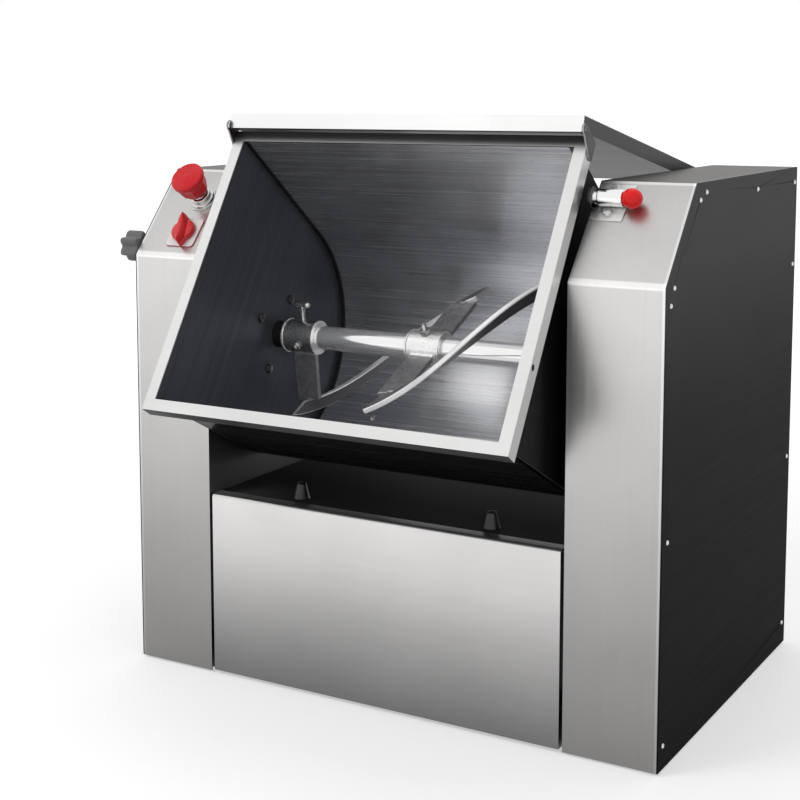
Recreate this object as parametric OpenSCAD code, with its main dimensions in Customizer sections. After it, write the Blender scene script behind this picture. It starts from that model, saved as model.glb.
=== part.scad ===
// Flour mixer with a tilting tub between two columns. Lengths in millimetres, +Z up.
// Origin on the floor under the middle of the body. +X runs right along the tub's axis, +Y to the back.
// The tub stands tilted to the front, with its lid folded over to the back.

/* [Body] */
// Width over both side panels
body_w = 640; // [610:1:680]
// Depth from front panel to rear panel
body_d = 436; // [425:1:470]
// Height of the columns
body_h = 577; // [572:1:590]
// Width of one column
col_w = 101.2; // [97:0.1:110]
// Height at which the front of a column bends back
bend_z = 482; // [470:1:487]
// Depth that the slanted face covers
slant_d = 83; // [78:1:90]
// Height of the shelf under the tub
shelf_z = 212; // [204:1:214]
// Thickness of the sheet-metal covers
cover_t = 1.5; // [1:0.1:2]
// Radius of the covers' folded edges
bend_r = 4; // [3:0.5:6]
// Gap between the front panel and each column
panel_gap = 4; // [2:0.5:6]
// Gap between the covers and the floor
floor_gap = 2; // [1:0.5:3]

/* [Frame] */
// Side of the square base tube
tube_w = 40; // [36:1:42]
// Wall of the square base tube
tube_t = 3; // [2:0.5:4]
// Thickness of the inner side plates
plate_t = 5; // [4:0.5:6]
// Height of the rails under the motor
motor_rail_h = 24; // [20:1:26]

/* [Tub] */
// Distance of the tilting axis from the front
axis_d = 121; // [118:1:124]
// Height of the tilting axis
axis_z = 381; // [379:1:384]
// Angle of the tub from upright
tilt = 57.8; // [55:0.1:60]
// Gap between rim frame and column
side_gap = 3.8; // [3.4:0.1:5]
// Depth of the rim frame, front to back
rim_d = 342.8; // [336:0.1:346]
// Height of the rim face above the axis
face_h = 181.7; // [180:0.1:184]
// Width of the rim frame's bars
rim_bar = 13; // [11:0.5:16]
// Depth of the rim frame's folded edge
rim_return = 17; // [15:0.5:20]
// Inner radius of the round bottom
bowl_r = 141; // [138:0.5:142]
// Thickness of the tub sheet
tub_t = 1.5; // [1:0.1:2]
// Thickness of the end plates
end_t = 2; // [1.5:0.1:3]

/* [Lid] */
// Depth of the lid's folded edge
lid_flange = 16.5; // [14:0.5:18]
// Thickness of the lid sheet
lid_t = 1.2; // [1:0.1:1.5]
// Angle that the lid has turned from closed
lid_open = 249; // [245:1:250]
// Diameter of the lid's hinge pins
lid_pin_d = 5; // [4:0.5:6]

/* [Agitator] */
// Diameter of the agitator shaft
shaft_d = 28; // [24:1:29]
// Radius of the ribbons at the middle arms
sweep_r = 108; // [100:1:118]
// Radius of the ribbons at the end arms
end_sweep_r = 93; // [86:1:112]
// Gap between an end hub and its seal
hub_gap = 0.5; // [0.3:0.1:6]
// Length of a hub
hub_l = 43; // [36:1:44]
// Outer diameter of a hub
hub_d = 38; // [36:1:42]
// Radial height of a ribbon
ribbon_h = 15; // [12:1:20]
// Thickness of a ribbon
ribbon_t = 6; // [4:0.5:7]
// Thickness of the arms
arm_t = 6; // [5:0.5:8]

/* [Drive] */
// Gear module
gear_m = 3; // [2.8:0.1:3]
// Teeth of the gear on the agitator shaft
gear_z = 54; // [50:1:54]
// Teeth of the pinion
pinion_z = 12; // [12:1:13]
// Pitch radius of the large pulley
big_pulley_r = 75; // [65:1:76]
// Pitch radius of the motor pulley
small_pulley_r = 25; // [23:1:27]
// Diameter of the jackshaft
jack_d = 15; // [14:0.5:16]
// Diameter of the motor body
motor_d = 140; // [130:1:140]
// Length of the motor body
motor_l = 210; // [180:1:214]
// Diameter of the motor shaft
motor_shaft_d = 19; // [16:1:20]

/* [Controls] */
// Diameter of the emergency-stop cap
estop_d = 40; // [36:1:44]
// Height of the emergency-stop face above the panel
estop_h = 45; // [43:1:48]
// Width of the selector's plate
selector_w = 39; // [36:1:40]
// Diameter of the lock pin's ball
ball_d = 20; // [18:1:24]
// Diameter of the lock pin's barrel
barrel_d = 18.5; // [17.5:0.5:19]
// Diameter of the lock pin
pin_d = 8; // [7.5:0.5:9]
// Diameter of the star knob on the side
side_knob_d = 36; // [32:1:40]
// Height of the shelf bumpers
bumper_h = 18; // [14:0.5:18]

/* [Hidden] */
$fn = 48;

// Clearances and overruns
eps = 0.5;
fit = 0.05;
slack = 0.3;
through = 400;

// Body planes
front_y = -body_d / 2;
rear_y = body_d / 2;
side_x = body_w / 2;
bay_x = side_x - col_w;
wall_z = tube_w + 4 * cover_t;
plate_x = bay_x + cover_t;
plate_out = plate_x + plate_t;
slant_h = body_h - bend_z;
slant_a = atan2(slant_h, slant_d);
slant_len = norm([slant_d, slant_h]);
screw_edge = 20;
panel_fold = 18;
fold_steps = 4;
profile = [[front_y, floor_gap], [front_y, bend_z], [front_y + slant_d, body_h], [rear_y, body_h],
  [rear_y, floor_gap]];

// Screws of a side panel: along the top edge as shares of that edge and of the screws' distance from it,
// and below the bend as shares of the depth and of the height of the bend
top_screw_shares = [[0.074, 0.52], [0.023, 0.865], [0.561, 0.865], [0.969, 0.865]];
low_screw_shares = [[0.046, 0.996], [0.026, 0.962], [0.975, 0.962], [0.032, 0.481], [0.972, 0.484],
  [0.968, 0.060], [0.028, 0.056]];
screw_points = concat(
  [for (s = top_screw_shares)
    [front_y + slant_d + s.x * (body_d - slant_d), body_h - s.y * screw_edge]],
  [for (s = low_screw_shares) [front_y + s.x * body_d, s.y * bend_z]]);
screw_d = 3.5;
screw_head_d = 6;
screw_head_h = 1.6;
knob_screw = 4;

// Frame
rail_inset = 13;
rail_l = body_d - 2 * rail_inset;
cross_y = body_d / 2 - tube_w * 1.2;
axis_y = front_y + axis_d;
plate_over = 80;
plate_top = axis_z + plate_over;
motor_rail_w = 30;
motor_gap = 23.8;
motor_end = bay_x - motor_gap;
motor_start = motor_end - motor_l;
motor_rail_x = [motor_start + motor_rail_w / 2, motor_end - 1.5 * motor_rail_w];

// Tub
rim_x = bay_x - side_gap;
end_x = rim_x - rim_bar;
rim_y = rim_d / 2;
mouth_y = rim_y - rim_bar;
wall_top = face_h - tub_t;
mouth = [mouth_y, wall_top];
mouth_a = atan2(wall_top, mouth_y);
tangent_a = mouth_a - acos(bowl_r / norm(mouth));
bowl_steps = 60;
wall_path = concat([[-mouth_y, wall_top]],
  [for (i = [0:bowl_steps]) let (a = 180 - tangent_a + (180 + 2 * tangent_a) * i / bowl_steps)
    bowl_r * [cos(a), sin(a)]],
  [[mouth_y, wall_top]]);
plug_in = 75;
plug_x = plug_in - end_x;
plug_a = -108.7;
plug_d = 8;
plug_h = 2;

// Lid, in the tub's own directions and closed
lid_play = 0.4;
lid_lift = 1;
lid_x = rim_x - lid_play;
lid_low = face_h + lid_lift;
lid_top = lid_low + lid_flange;
pin_in = 1.2;
pin_drop = 2.9;
hinge_y = rim_y - pin_in;
hinge_z = lid_top - pin_drop;
ear_t = 2;
ear_r = 6;
lid_ear_r = 5.5;
ear_foot = 21;
pin_head_d = 8;
pin_head_h = 0.9;

// Agitator
seal_wall = 2;
seal_d = shaft_d + 2 * seal_wall;
seal_l = 14;
seal_play = 0.15;
left_arm_a = -82.5;
back_arm_a = 24.5;
arm_w = 30;
set_screw_turn = 70;
ribbon_steps = 28;
ribbon_lead_a = 15.8;
ribbon_bow = 9.2;
ribbon_over = 25;
ribbon_end_over = 12;
ribbon_end_cut = 9;
arm_tip_gap = 0.8;
hub_x = end_x - seal_l - hub_gap - hub_l / 2;
hub_rim = 2.5;
hub_rim_h = 1;
hub_rim_d = hub_d + 2 * hub_rim_h;
bolt_d = 6;
bolt_wide_af = 10;
nut_af = 11;
stud_r = 33;
tee_r = 38;

// Trunnions and bearings
trunnion_d = 50;
trunnion_bore = 34;
flange_d = 112;
flange_t = 6;
flange_bolt_r = 45;
flange_x = end_x + end_t;
bearing_d = 96;
bearing_t = 8;
spigot_d = 64;
bearing_bolt_r = 40;
collar_d = 60;
collar_t = 6;
collar_x = plate_out + bearing_t + fit * 10;
sleeve_end = collar_x + collar_t;
wall_hole_d = spigot_d + cover_t;
roller_l = 12;

// Drive
gear_w = 18;
gear_x = sleeve_end + collar_t;
gear_hub_l = 4;
shaft_short = 4;
shaft_over = 6;
shaft_left = sleeve_end - shaft_short;
shaft_right = gear_x + gear_w + shaft_over;
gear_hub_d = 46;
centre = gear_m * (gear_z + pinion_z) / 2;
jack_a = -50;
jack_y = axis_y + centre * cos(jack_a);
jack_z = axis_z + centre * sin(jack_a);
addendum = 0.8 * gear_m;
tip_gap = 0.6;
backlash = 0.5;
pressure = 20;
gear_tip = gear_m * gear_z / 2 + addendum;
pinion_tip = gear_m * pinion_z / 2 + addendum;
gear_root = centre - pinion_tip - tip_gap;
pinion_root = centre - gear_tip - tip_gap;
housing_wall = 10;
chamber_gap = 2;
chamber_r = pinion_tip + chamber_gap;
housing_r = chamber_r + housing_wall;
chamber_play = 2.5;
housing_x = gear_x + gear_w + chamber_play;
housing_t = 11;
pulley_w = 18;
pulley_gap = 5;
pulley_x = housing_x + housing_t + pulley_gap;
pulley_hub_d = 30;
pulley_hub_l = 3;
belt_w = 12;
belt_out = 3;
belt_in = 4;
belt_play = 0.3;
flange_over = 4;
motor_y = 20;
motor_z = 100;
motor_foot_t = 10;
foot_w = 150;
cowl_step = 4;
cowl_d = motor_d - 2 * cowl_step;
cowl_l = 45;
box_w = 70;
box_l = 60;
box_h = 33;
motor_bore_l = 40;

// Controls
estop_in = 60;
estop_x = estop_in - side_x;
estop_s = 81;
stem_d = 18;
neck_d = 22;
neck_h = 12;
collar_d1 = 31;
collar_d2 = 27;
collar_d3 = 23;
collar_step = 4;
nut_d = 30;
nut_h = 3;
cap_low = 17.5;
cap_neck_r = 13.5;
cap_skirt_r = 16.5;
cap_skirt_h = 33;
cap_edge = 1.5;
cap_wall = 7;
block_w = 30;
block_h = 40;
selector_in = 56;
selector_x = selector_in - side_x;
selector_s = 33;
selector_corner = 4;
selector_edge = 0.8;
legend_t = 1.7;
knob_turn = 13;
knob_low = 2;
knob_h = 14;
knob_disc_r = 14.5;
knob_len = 43;
knob_bar_w = 13;
selector_shaft_d = 8;
selector_body_d = 30;
selector_body_h = 50;
switch_thread_d = 22;

// Lock pin
pin_down = 31.15;
pin_s = slant_len - pin_down;
pin_h = 12.5;
bracket_t = 2;
bracket_in = 1.2;
bracket_x = bay_x + bracket_in;
bracket_down = 6.15;
bracket_l = 45;
bracket_s1 = slant_len - bracket_down;
bracket_s0 = bracket_s1 - bracket_l;
bracket_w = 34;
bracket_skew = 5;
lug_t = 3;
lug_w = 22;
lug_foot_w = 19;
guide_d = 14;
guide_l = 26;
pin_tip_d = 6;
pin_tip_gap = 0.9;
pin_tip_x = rim_x + pin_tip_gap;
pin_tip_l = 6.2;
barrel_in = 9.5;
barrel_l = 26.7;
barrel_x = bay_x + barrel_in;
barrel_end = barrel_x + barrel_l;
barrel_cap = 2.8;
ball_sink = 1.4;
ball_x = barrel_end + ball_d / 2 - ball_sink;
ball_stud_d = 6;
ball_stud_l = 7;
bracket_bolt_d = 5;
bolt_af = 8;
bolt_head_h = 3.5;
bracket_bolt_in = 18;
bracket_bolt_x = bracket_x + bracket_bolt_in;
bracket_bolt_shares = [0.178, 0.856];
bracket_bolt_s = [for (b = bracket_bolt_shares) bracket_s0 + bracket_l * b];
lock_hole_d = 6.6;
pin_y = front_y + pin_s * cos(slant_a) - pin_h * sin(slant_a);
pin_z = bend_z + pin_s * sin(slant_a) + pin_h * cos(slant_a);
pin_from_axis = [pin_y - axis_y, pin_z - axis_z];
lock_hole_h = face_h - rim_return / 3;
upright_a = 180 - asin(lock_hole_h / norm(pin_from_axis)) - atan2(pin_from_axis.y, pin_from_axis.x);

// Side knob
knob_in = 18;
knob_up = 7;
knob_y = front_y + knob_in;
knob_z = bend_z + knob_up;
boss_l = 6;
stud_d = 8;
knob_gap = 1.5;
knob_l = 24;
knob_lobe_r = 5;
knob_bore_l = 14;

// Shared helpers
function unit(v) = v / norm(v);
function across(p, q) = unit([p.y - q.y, q.x - p.x]);
function mitre(a, p, b, t) = let (m = across(a, p) + across(p, b)) p + m * (2 * t / (m * m));
function moved(path, t) = let (last = len(path) - 1)
  [for (i = [0:last]) i == 0 ? path[0] + t * across(path[0], path[1])
    : i == last ? path[last] + t * across(path[last - 1], path[last])
    : mitre(path[i - 1], path[i], path[i + 1], t)];
function inset(loop, t) = let (n = len(loop))
  [for (i = [0:n - 1]) mitre(loop[(i + n - 1) % n], loop[i], loop[(i + 1) % n], t)];
function backwards(v) = [for (i = [len(v) - 1:-1:0]) v[i]];
function corner(a, p, b, r, n) =
  let (u = unit(a - p), w = unit(b - p), h = acos(u * w) / 2)
  let (c = p + unit(u + w) * r / sin(h), s = p + u * r / tan(h), e = p + w * r / tan(h))
  let (a0 = atan2(s.y - c.y, s.x - c.x), a1 = atan2(e.y - c.y, e.x - c.x))
  let (turn = (a1 - a0 + 540) % 360 - 180)
  [for (i = [0:n]) c + r * [cos(a0 + turn * i / n), sin(a0 + turn * i / n)]];
function rounded(path, r, n) = let (last = len(path) - 1)
  concat([path[0]],
    [for (i = [1:last - 1]) each corner(path[i - 1], path[i], path[i + 1], r, n)],
    [path[last]]);
function involute(r, base) = r <= base ? 0 : let (a = acos(base / r)) tan(a) * 180 / PI - a;
function flank_a(r, pitch, base) = let (thin = backlash / 2 / pitch * 90 / PI)
  gear_m / pitch * 45 - thin + involute(pitch, base) - involute(r, base);
function flank_radii(root, tip, pitch) = let (base = pitch * cos(pressure))
  [root, max((root + pitch) / 2, base), pitch, tip];
function gear_points(teeth, root, tip, first_a) =
  let (pitch = gear_m * teeth / 2, base = pitch * cos(pressure), radii = flank_radii(root, tip, pitch))
  [for (k = [0:teeth - 1]) let (mid = first_a + k * 360 / teeth)
    each concat([for (i = [0:3]) let (a = mid - flank_a(radii[i], pitch, base))
        radii[i] * [cos(a), sin(a)]],
      [for (i = [3:-1:0]) let (a = mid + flank_a(radii[i], pitch, base))
        radii[i] * [cos(a), sin(a)]])];

module sheet(path, t) polygon(concat(path, backwards(moved(path, t))));
module along_x(x, l) translate([x, 0, 0]) rotate([90, 0, 90]) linear_extrude(l) children();
module rod_x(x, l, d) translate([x, 0, 0]) rotate([0, 90, 0]) cylinder(h = l, d = d);
module at_axis() translate([0, axis_y, axis_z]) children();
module at_jack() translate([0, jack_y, jack_z]) children();
module at_motor() translate([0, motor_y, motor_z]) children();
module at_turn(a) rotate([a, 0, 0]) children();
module tub_pose() at_axis() rotate([tilt, 0, 0]) children();
module on_slant(x, s, h = 0)
  translate([x, front_y + s * cos(slant_a), bend_z + s * sin(slant_a)])
    rotate([slant_a, 0, 0]) translate([0, 0, h]) children();
module mirrored(side) mirror([side < 0 ? 1 : 0, 0, 0]) children();
module both_sides() for (side = [-1, 1]) mirrored(side) children();
module tube_y(w, h, l) difference() {
  translate([0, -l / 2, 0]) cube([w, l, h]);
  translate([tube_t, -l / 2 - eps, tube_t]) cube([w - 2 * tube_t, l + 2 * eps, h - 2 * tube_t]);
}
module hexagon(af, h) cylinder(h = h, d = af / cos(30), $fn = 6);

// Base frame
module cross_rail(y) translate([0, y, 0]) rotate([0, 0, 90]) translate([-tube_w / 2, 0, 0])
  tube_y(tube_w, tube_w, 2 * plate_x);
module base_cross_rails() color("dimgray") for (y = [-cross_y, cross_y]) cross_rail(y);
module base_side_rails() color("dimgray") both_sides() translate([plate_out, 0, 0])
  tube_y(tube_w, tube_w, rail_l);
module motor_rails() color("dimgray") for (x = motor_rail_x) translate([x - motor_rail_w / 2, 0, 0])
  tube_y(motor_rail_w, motor_rail_h, 2 * cross_y - tube_w);

// Inner side plates, which carry the tub's bearings
module plate_outline() polygon([[-rail_l / 2, 0], [rail_l / 2, 0], [rail_l / 2, shelf_z],
  [axis_y + bearing_d, plate_top], [axis_y - bearing_d * 0.8, plate_top],
  [-rail_l / 2, axis_z - bearing_d]]);
module bearing_bolt_places(h) for (a = [45:90:315])
  at_turn(a) translate([0, bearing_bolt_r, 0]) rod_x(0, h, bolt_d + 2 * slack);
module inner_plate(side) difference() {
  along_x(plate_x, plate_t) plate_outline();
  at_axis() rod_x(plate_x - eps, plate_t + 2 * eps, spigot_d + 2 * fit);
  at_axis() translate([plate_x - eps, 0, 0]) bearing_bolt_places(plate_t + 2 * eps);
  if (side > 0) at_motor() rod_x(plate_x - eps, plate_t + 2 * eps, motor_shaft_d * 1.5);
}
module inner_plates() color("gray") for (side = [-1, 1]) mirrored(side) inner_plate(side);

// Column covers: one folded sheet for front, slope and top, with a wall towards the tub
cover_path = [[front_y, floor_gap], [front_y, bend_z], [front_y + slant_d, body_h],
  [rear_y - cover_t, body_h]];
module side_screw_places(side) for (i = [0:len(screw_points) - 1])
  if (side > 0 || i != knob_screw) translate([0, screw_points[i].x, screw_points[i].y]) children();
module column_cover(side) difference() {
  union() {
    along_x(bay_x, col_w - cover_t) sheet(rounded(cover_path, bend_r, fold_steps), -cover_t);
    along_x(bay_x, cover_t) polygon(concat(
      [[front_y + cover_t / 2, wall_z]],
      [for (i = [1:3]) let (p = inset(profile, -cover_t / 2)[i]) [min(p.x, rear_y - cover_t), p.y]],
      [[rear_y - cover_t, wall_z]]));
    along_x(side_x - 2 * cover_t, cover_t) difference() {
      polygon([for (p = inset(profile, -cover_t / 2)) [min(p.x, rear_y - cover_t), p.y]]);
      polygon(inset(profile, -screw_edge));
    }
  }
  at_axis() rod_x(bay_x - eps, cover_t + 2 * eps, wall_hole_d);
  side_screw_places(side) rod_x(side_x - 2 * cover_t - eps, 2 * cover_t, screw_d + 2 * fit);
  if (side > 0) {
    at_motor() rod_x(bay_x - eps, cover_t + 2 * eps, motor_shaft_d * 1.5);
    for (s = bracket_bolt_s) on_slant(bracket_bolt_x, s, -2 * cover_t)
      cylinder(h = 3 * cover_t, d = bracket_bolt_d + 2 * fit);
  } else {
    on_slant(-estop_x, estop_s, -2 * cover_t) cylinder(h = 3 * cover_t, d = neck_d + 2 * fit);
    on_slant(-selector_x, selector_s, -2 * cover_t)
      cylinder(h = 3 * cover_t, d = switch_thread_d + 2 * fit);
    translate([0, knob_y, knob_z]) rod_x(side_x - 2 * cover_t - eps, 2 * cover_t, stud_d + 2 * fit);
  }
}
module right_column_cover() color("silver") column_cover(1);
module left_column_cover() color("silver") mirrored(-1) column_cover(-1);

// Side panels and their screws
module side_panel(side) difference() {
  along_x(side_x - cover_t, cover_t) polygon(profile);
  side_screw_places(side) rod_x(side_x - 2 * cover_t, 3 * cover_t, screw_d + 2 * fit);
  if (side < 0) translate([0, knob_y, knob_z]) rod_x(side_x - 2 * cover_t, 3 * cover_t, stud_d + 2 * fit);
}
module right_side_panel() color("dimgray") side_panel(1);
module left_side_panel() color("dimgray") mirrored(-1) side_panel(-1);
module panel_screw() {
  rod_x(side_x - 4 * cover_t, 4 * cover_t, screw_d);
  translate([side_x, 0, 0]) rotate([0, 90, 0]) rotate_extrude()
    polygon([[0, 0], [screw_head_d / 2, 0], [screw_head_d / 2, screw_head_h / 4],
      [screw_head_d / 3, screw_head_h], [0, screw_head_h]]);
}
module side_panel_screws() color("gainsboro") for (side = [-1, 1]) mirrored(side)
  side_screw_places(side) panel_screw();

// Rear covers, with slots that let the motor's warm air out
slot_l = 60;
slot_w = 5;
slot_step = 14;
slot_n = 8;
slot_z = 70;
gland_in_side = 51;
gland_x = gland_in_side - side_x;
gland_z = 70;
gland_d = 20;
gland_bore = 8;
gland_out = 18;
gland_in = 12;
gland_thread_d = 14;
gland_nut_h = 6;
contactor_d = 60;
contactor_w = 110;
contactor_h = 130;
contactor_y = 20;
contactor_z = 150;
module slots(x, n, l) for (i = [0:n - 1])
  translate([x - l / 2, rear_y - 2 * cover_t, slot_z + i * slot_step]) cube([l, 3 * cover_t, slot_w]);
module rear_cover() translate([bay_x, rear_y - cover_t, floor_gap])
  cube([col_w - cover_t, cover_t, body_h - floor_gap - cover_t]);
module rear_covers() color("silver") {
  difference() {
    rear_cover();
    slots((bay_x + side_x) / 2, slot_n, slot_l);
  }
  difference() {
    mirrored(-1) rear_cover();
    at_gland(-2 * cover_t) cylinder(h = 3 * cover_t, d = gland_thread_d + 2 * fit);
  }
}
// Gland for the supply cable, through the left rear cover
module at_gland(z) translate([gland_x, rear_y, gland_z]) rotate([-90, 0, 0])
  translate([0, 0, z]) children();
module cable_gland() color("black") difference() {
  union() {
    at_gland(-gland_in) cylinder(h = gland_in, d = gland_thread_d);
    at_gland(-cover_t - gland_nut_h) hexagon(gland_d, gland_nut_h);
    at_gland(0) hexagon(gland_d, gland_nut_h);
    at_gland(0) cylinder(h = gland_out, d = gland_d * 0.8);
  }
  at_gland(-gland_in - eps) cylinder(h = gland_in + gland_out + 2 * eps, d = gland_bore);
}
// Contactor box on the left inner plate
module contactor_box() color("gainsboro") translate([-plate_out - contactor_d, contactor_y, contactor_z])
  cube([contactor_d, contactor_w, contactor_h]);

// Front panel with folded edges, rear panel and shelf
panel_x = bay_x - panel_gap;
shelf_top = shelf_z - cover_t;
module front_panel() color("silver") {
  along_x(-panel_x, 2 * panel_x) sheet(rounded([[front_y, 2 * floor_gap], [front_y, shelf_z],
    [front_y + panel_fold, shelf_z]], bend_r, fold_steps), -cover_t);
  both_sides() along_x(panel_x - cover_t, cover_t) polygon([[front_y + cover_t, 2 * floor_gap],
    [front_y + cover_t, shelf_top - cover_t], [front_y + panel_fold, shelf_top - cover_t],
    [front_y + panel_fold, 2 * floor_gap]]);
}
module rear_panel() color("silver") difference() {
  translate([-panel_x, rear_y - cover_t, 2 * floor_gap])
    cube([2 * panel_x, cover_t, shelf_z - 2 * floor_gap]);
  slots(panel_x / 2, slot_n / 2, 2 * slot_l);
  slots(-panel_x / 2, slot_n / 2, 2 * slot_l);
}
module shelf_plate() color("dimgray") {
  translate([-bay_x + slack, front_y + bend_r, shelf_top - cover_t])
    cube([2 * (bay_x - slack), body_d - bend_r - cover_t, cover_t]);
  both_sides() translate([bay_x - slack - cover_t, front_y + 2 * panel_fold, shelf_top - panel_fold])
    cube([cover_t, body_d - 3 * panel_fold, panel_fold]);
}
bumper_side = 99.8;
bumper_x = bay_x - bumper_side;
bumper_in = 40;
bumper_y = front_y + bumper_in;
bumper_r = 9.8;
bumper_top_r = 5.5;
module bumper() rotate_extrude() polygon([[0, 0], [bumper_r, 0], [bumper_r, bumper_h / 15],
  [bumper_top_r, bumper_h * 0.94], [bumper_top_r * 0.8, bumper_h], [0, bumper_h]]);
module shelf_bumpers() color("black") for (x = [-bumper_x, bumper_x])
  translate([x, bumper_y, shelf_top]) bumper();

// Trunnion bearings on the inner plates
module bearing_ring() difference() {
  union() {
    rod_x(plate_x, plate_t, spigot_d);
    rod_x(plate_out, bearing_t, bearing_d);
  }
  rod_x(plate_x - eps, plate_t + bearing_t + 2 * eps, trunnion_d + 2 * fit);
  translate([plate_out - eps, 0, 0]) bearing_bolt_places(bearing_t + 2 * eps);
}
module trunnion_bearings() color("gray") both_sides() at_axis() bearing_ring();
module bearing_bolts() color("silver") both_sides() at_axis() for (a = [45:90:315])
  at_turn(a) translate([plate_x + fit, bearing_bolt_r, 0]) rotate([0, 90, 0]) {
    cylinder(h = plate_t + bearing_t, d = bolt_d);
    translate([0, 0, plate_t + bearing_t - fit]) hexagon(bolt_wide_af, bolt_head_h);
  }

// Motor on its feet, with a terminal box on top
module motor_body() color("steelblue") difference() {
  union() {
    at_motor() rod_x(motor_start + cowl_l, motor_l - cowl_l, motor_d);
    at_motor() rod_x(motor_start, cowl_l, cowl_d);
    for (x = motor_rail_x) translate([x - motor_rail_w / 2, motor_y, motor_rail_h]) {
      translate([0, -foot_w / 2, 0]) cube([motor_rail_w, foot_w, motor_foot_t]);
      translate([0, -foot_w / 3, 0])
        cube([motor_rail_w, foot_w * 2 / 3, motor_z - motor_rail_h - motor_d / 3]);
    }
  }
  at_motor() rod_x(motor_end - motor_bore_l, motor_bore_l + eps, motor_shaft_d + 2 * fit);
}
module motor_terminal_box() color("dimgray") difference() {
  translate([motor_start + motor_l / 2 - box_w / 2, motor_y - box_l / 2, motor_z + motor_d / 3])
    cube([box_w, box_l, motor_d / 6 + box_h]);
  at_motor() rod_x(motor_start, motor_l, motor_d + 2 * fit);
}
pulley_end = pulley_x + pulley_w;
module motor_shaft() color("silver") at_motor()
  rod_x(motor_end - motor_bore_l + slack, pulley_end + pulley_hub_l - motor_end + motor_bore_l,
    motor_shaft_d);
module pulley(pitch, bore) difference() {
  union() {
    rod_x(pulley_x, pulley_w, 2 * (pitch + flange_over));
    rod_x(pulley_x - pulley_hub_l, pulley_w + pulley_hub_l, pulley_hub_d);
  }
  difference() {
    rod_x(pulley_x + (pulley_w - belt_w) / 2 - belt_play, belt_w + 2 * belt_play,
      2 * (pitch + 2 * flange_over));
    rod_x(pulley_x, pulley_w, 2 * (pitch - belt_in - belt_play));
  }
  rod_x(pulley_x - 2 * pulley_hub_l, pulley_w + 4 * pulley_hub_l, bore + 2 * fit);
}
module motor_pulley() color("gray") at_motor() pulley(small_pulley_r, motor_shaft_d);
belt_span = [motor_y - jack_y, motor_z - jack_z];
belt_a = atan2(belt_span.y, belt_span.x);
belt_b = acos((big_pulley_r - small_pulley_r) / norm(belt_span));
belt_steps = 40;
function belt_arc(mid, r, a0, a1) = [for (i = [0:belt_steps])
  let (a = a0 + (a1 - a0) * i / belt_steps)
  mid + r * [cos(a), sin(a)]];
function belt_loop(over) = concat(
  belt_arc([jack_y, jack_z], big_pulley_r + over, belt_a + belt_b, belt_a - belt_b + 360),
  belt_arc([motor_y, motor_z], small_pulley_r + over, belt_a - belt_b, belt_a + belt_b));
module drive_belt() color("black") along_x(pulley_x + (pulley_w - belt_w) / 2, belt_w) difference() {
  polygon(belt_loop(belt_out));
  polygon(belt_loop(-belt_in));
}

// Jackshaft, its housing, and the gears
module jackshaft_housing() color("gray") at_jack() rotate([jack_a, 0, 0]) difference() {
  rod_x(plate_out, housing_x + housing_t - plate_out, 2 * housing_r);
  rod_x(gear_x - chamber_play, housing_x - gear_x + chamber_play, 2 * chamber_r);
  translate([gear_x - chamber_play, -2 * housing_r, -housing_r - eps])
    cube([housing_x - gear_x + chamber_play, 2 * housing_r + chamber_r / 3, 2 * housing_r + 2 * eps]);
  rod_x(plate_out - eps, through, jack_d + 2 * fit);
}
module jackshaft() color("silver") at_jack()
  rod_x(plate_out + slack, pulley_end + pulley_hub_l - plate_out, jack_d);
module pinion() color("gray") at_jack() difference() {
  along_x(gear_x, gear_w)
    polygon(gear_points(pinion_z, pinion_root, pinion_tip, jack_a + 180 + 180 / pinion_z));
  rod_x(gear_x - eps, gear_w + 2 * eps, jack_d + 2 * fit);
}
module large_pulley() color("gray") at_jack() pulley(big_pulley_r, jack_d);
module driven_gear() color("gray") at_axis() difference() {
  union() {
    along_x(gear_x, gear_w) polygon(gear_points(gear_z, gear_root, gear_tip, jack_a));
    rod_x(gear_x - gear_hub_l, gear_hub_l, gear_hub_d);
  }
  rod_x(gear_x - gear_hub_l - eps, gear_w + gear_hub_l + 2 * eps, shaft_d + 2 * fit);
}

// Tub
module tub_wall() color("darkgray") tub_pose() difference() {
  along_x(-end_x, 2 * end_x) sheet(wall_path, -tub_t);
  at_turn(plug_a) translate([plug_x, 0, 0]) rotate([-90, 0, 0])
    cylinder(h = bowl_r + 4 * tub_t, d = plug_d / 2 + 2 * fit);
}
module end_outline() polygon(moved(wall_path, -tub_t));
module tub_end() difference() {
  along_x(end_x, end_t) end_outline();
  rod_x(end_x - eps, end_t + 2 * eps, seal_d + 2 * fit);
  flange_bolt_places() rod_x(end_x - eps, end_t + 2 * eps, bolt_d + 2 * fit);
}
module flange_bolt_places() for (a = [0:90:270]) at_turn(a) translate([0, flange_bolt_r, 0]) children();
module tub_right_end() color("dimgray") tub_pose() tub_end();
module tub_left_end() color("dimgray") tub_pose() mirrored(-1) tub_end();
module tub_rim_frame() color("whitesmoke") tub_pose() difference() {
  translate([-rim_x, -rim_y, face_h - rim_return]) cube([2 * rim_x, 2 * rim_y, rim_return]);
  translate([-rim_x + tub_t, -rim_y + tub_t, face_h - rim_return - eps])
    cube([2 * (rim_x - tub_t), 2 * (rim_y - tub_t), rim_return - tub_t + eps]);
  translate([-end_x, -mouth_y, face_h - rim_return]) cube([2 * end_x, 2 * mouth_y, 2 * rim_return]);
  rotate([upright_a, 0, 0]) translate([0, pin_from_axis.x, pin_from_axis.y])
    rod_x(rim_x - 2 * tub_t, 4 * tub_t, lock_hole_d);
}
module wall_plug() color("silver") tub_pose() at_turn(plug_a)
  translate([plug_x, 0, 0]) rotate([-90, 0, 0]) {
  translate([0, 0, bowl_r - plug_h]) cylinder(h = plug_h - slack, d = plug_d);
  translate([0, 0, bowl_r - plug_h / 2]) cylinder(h = plug_h + 2 * tub_t, d = plug_d / 2);
}

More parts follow.
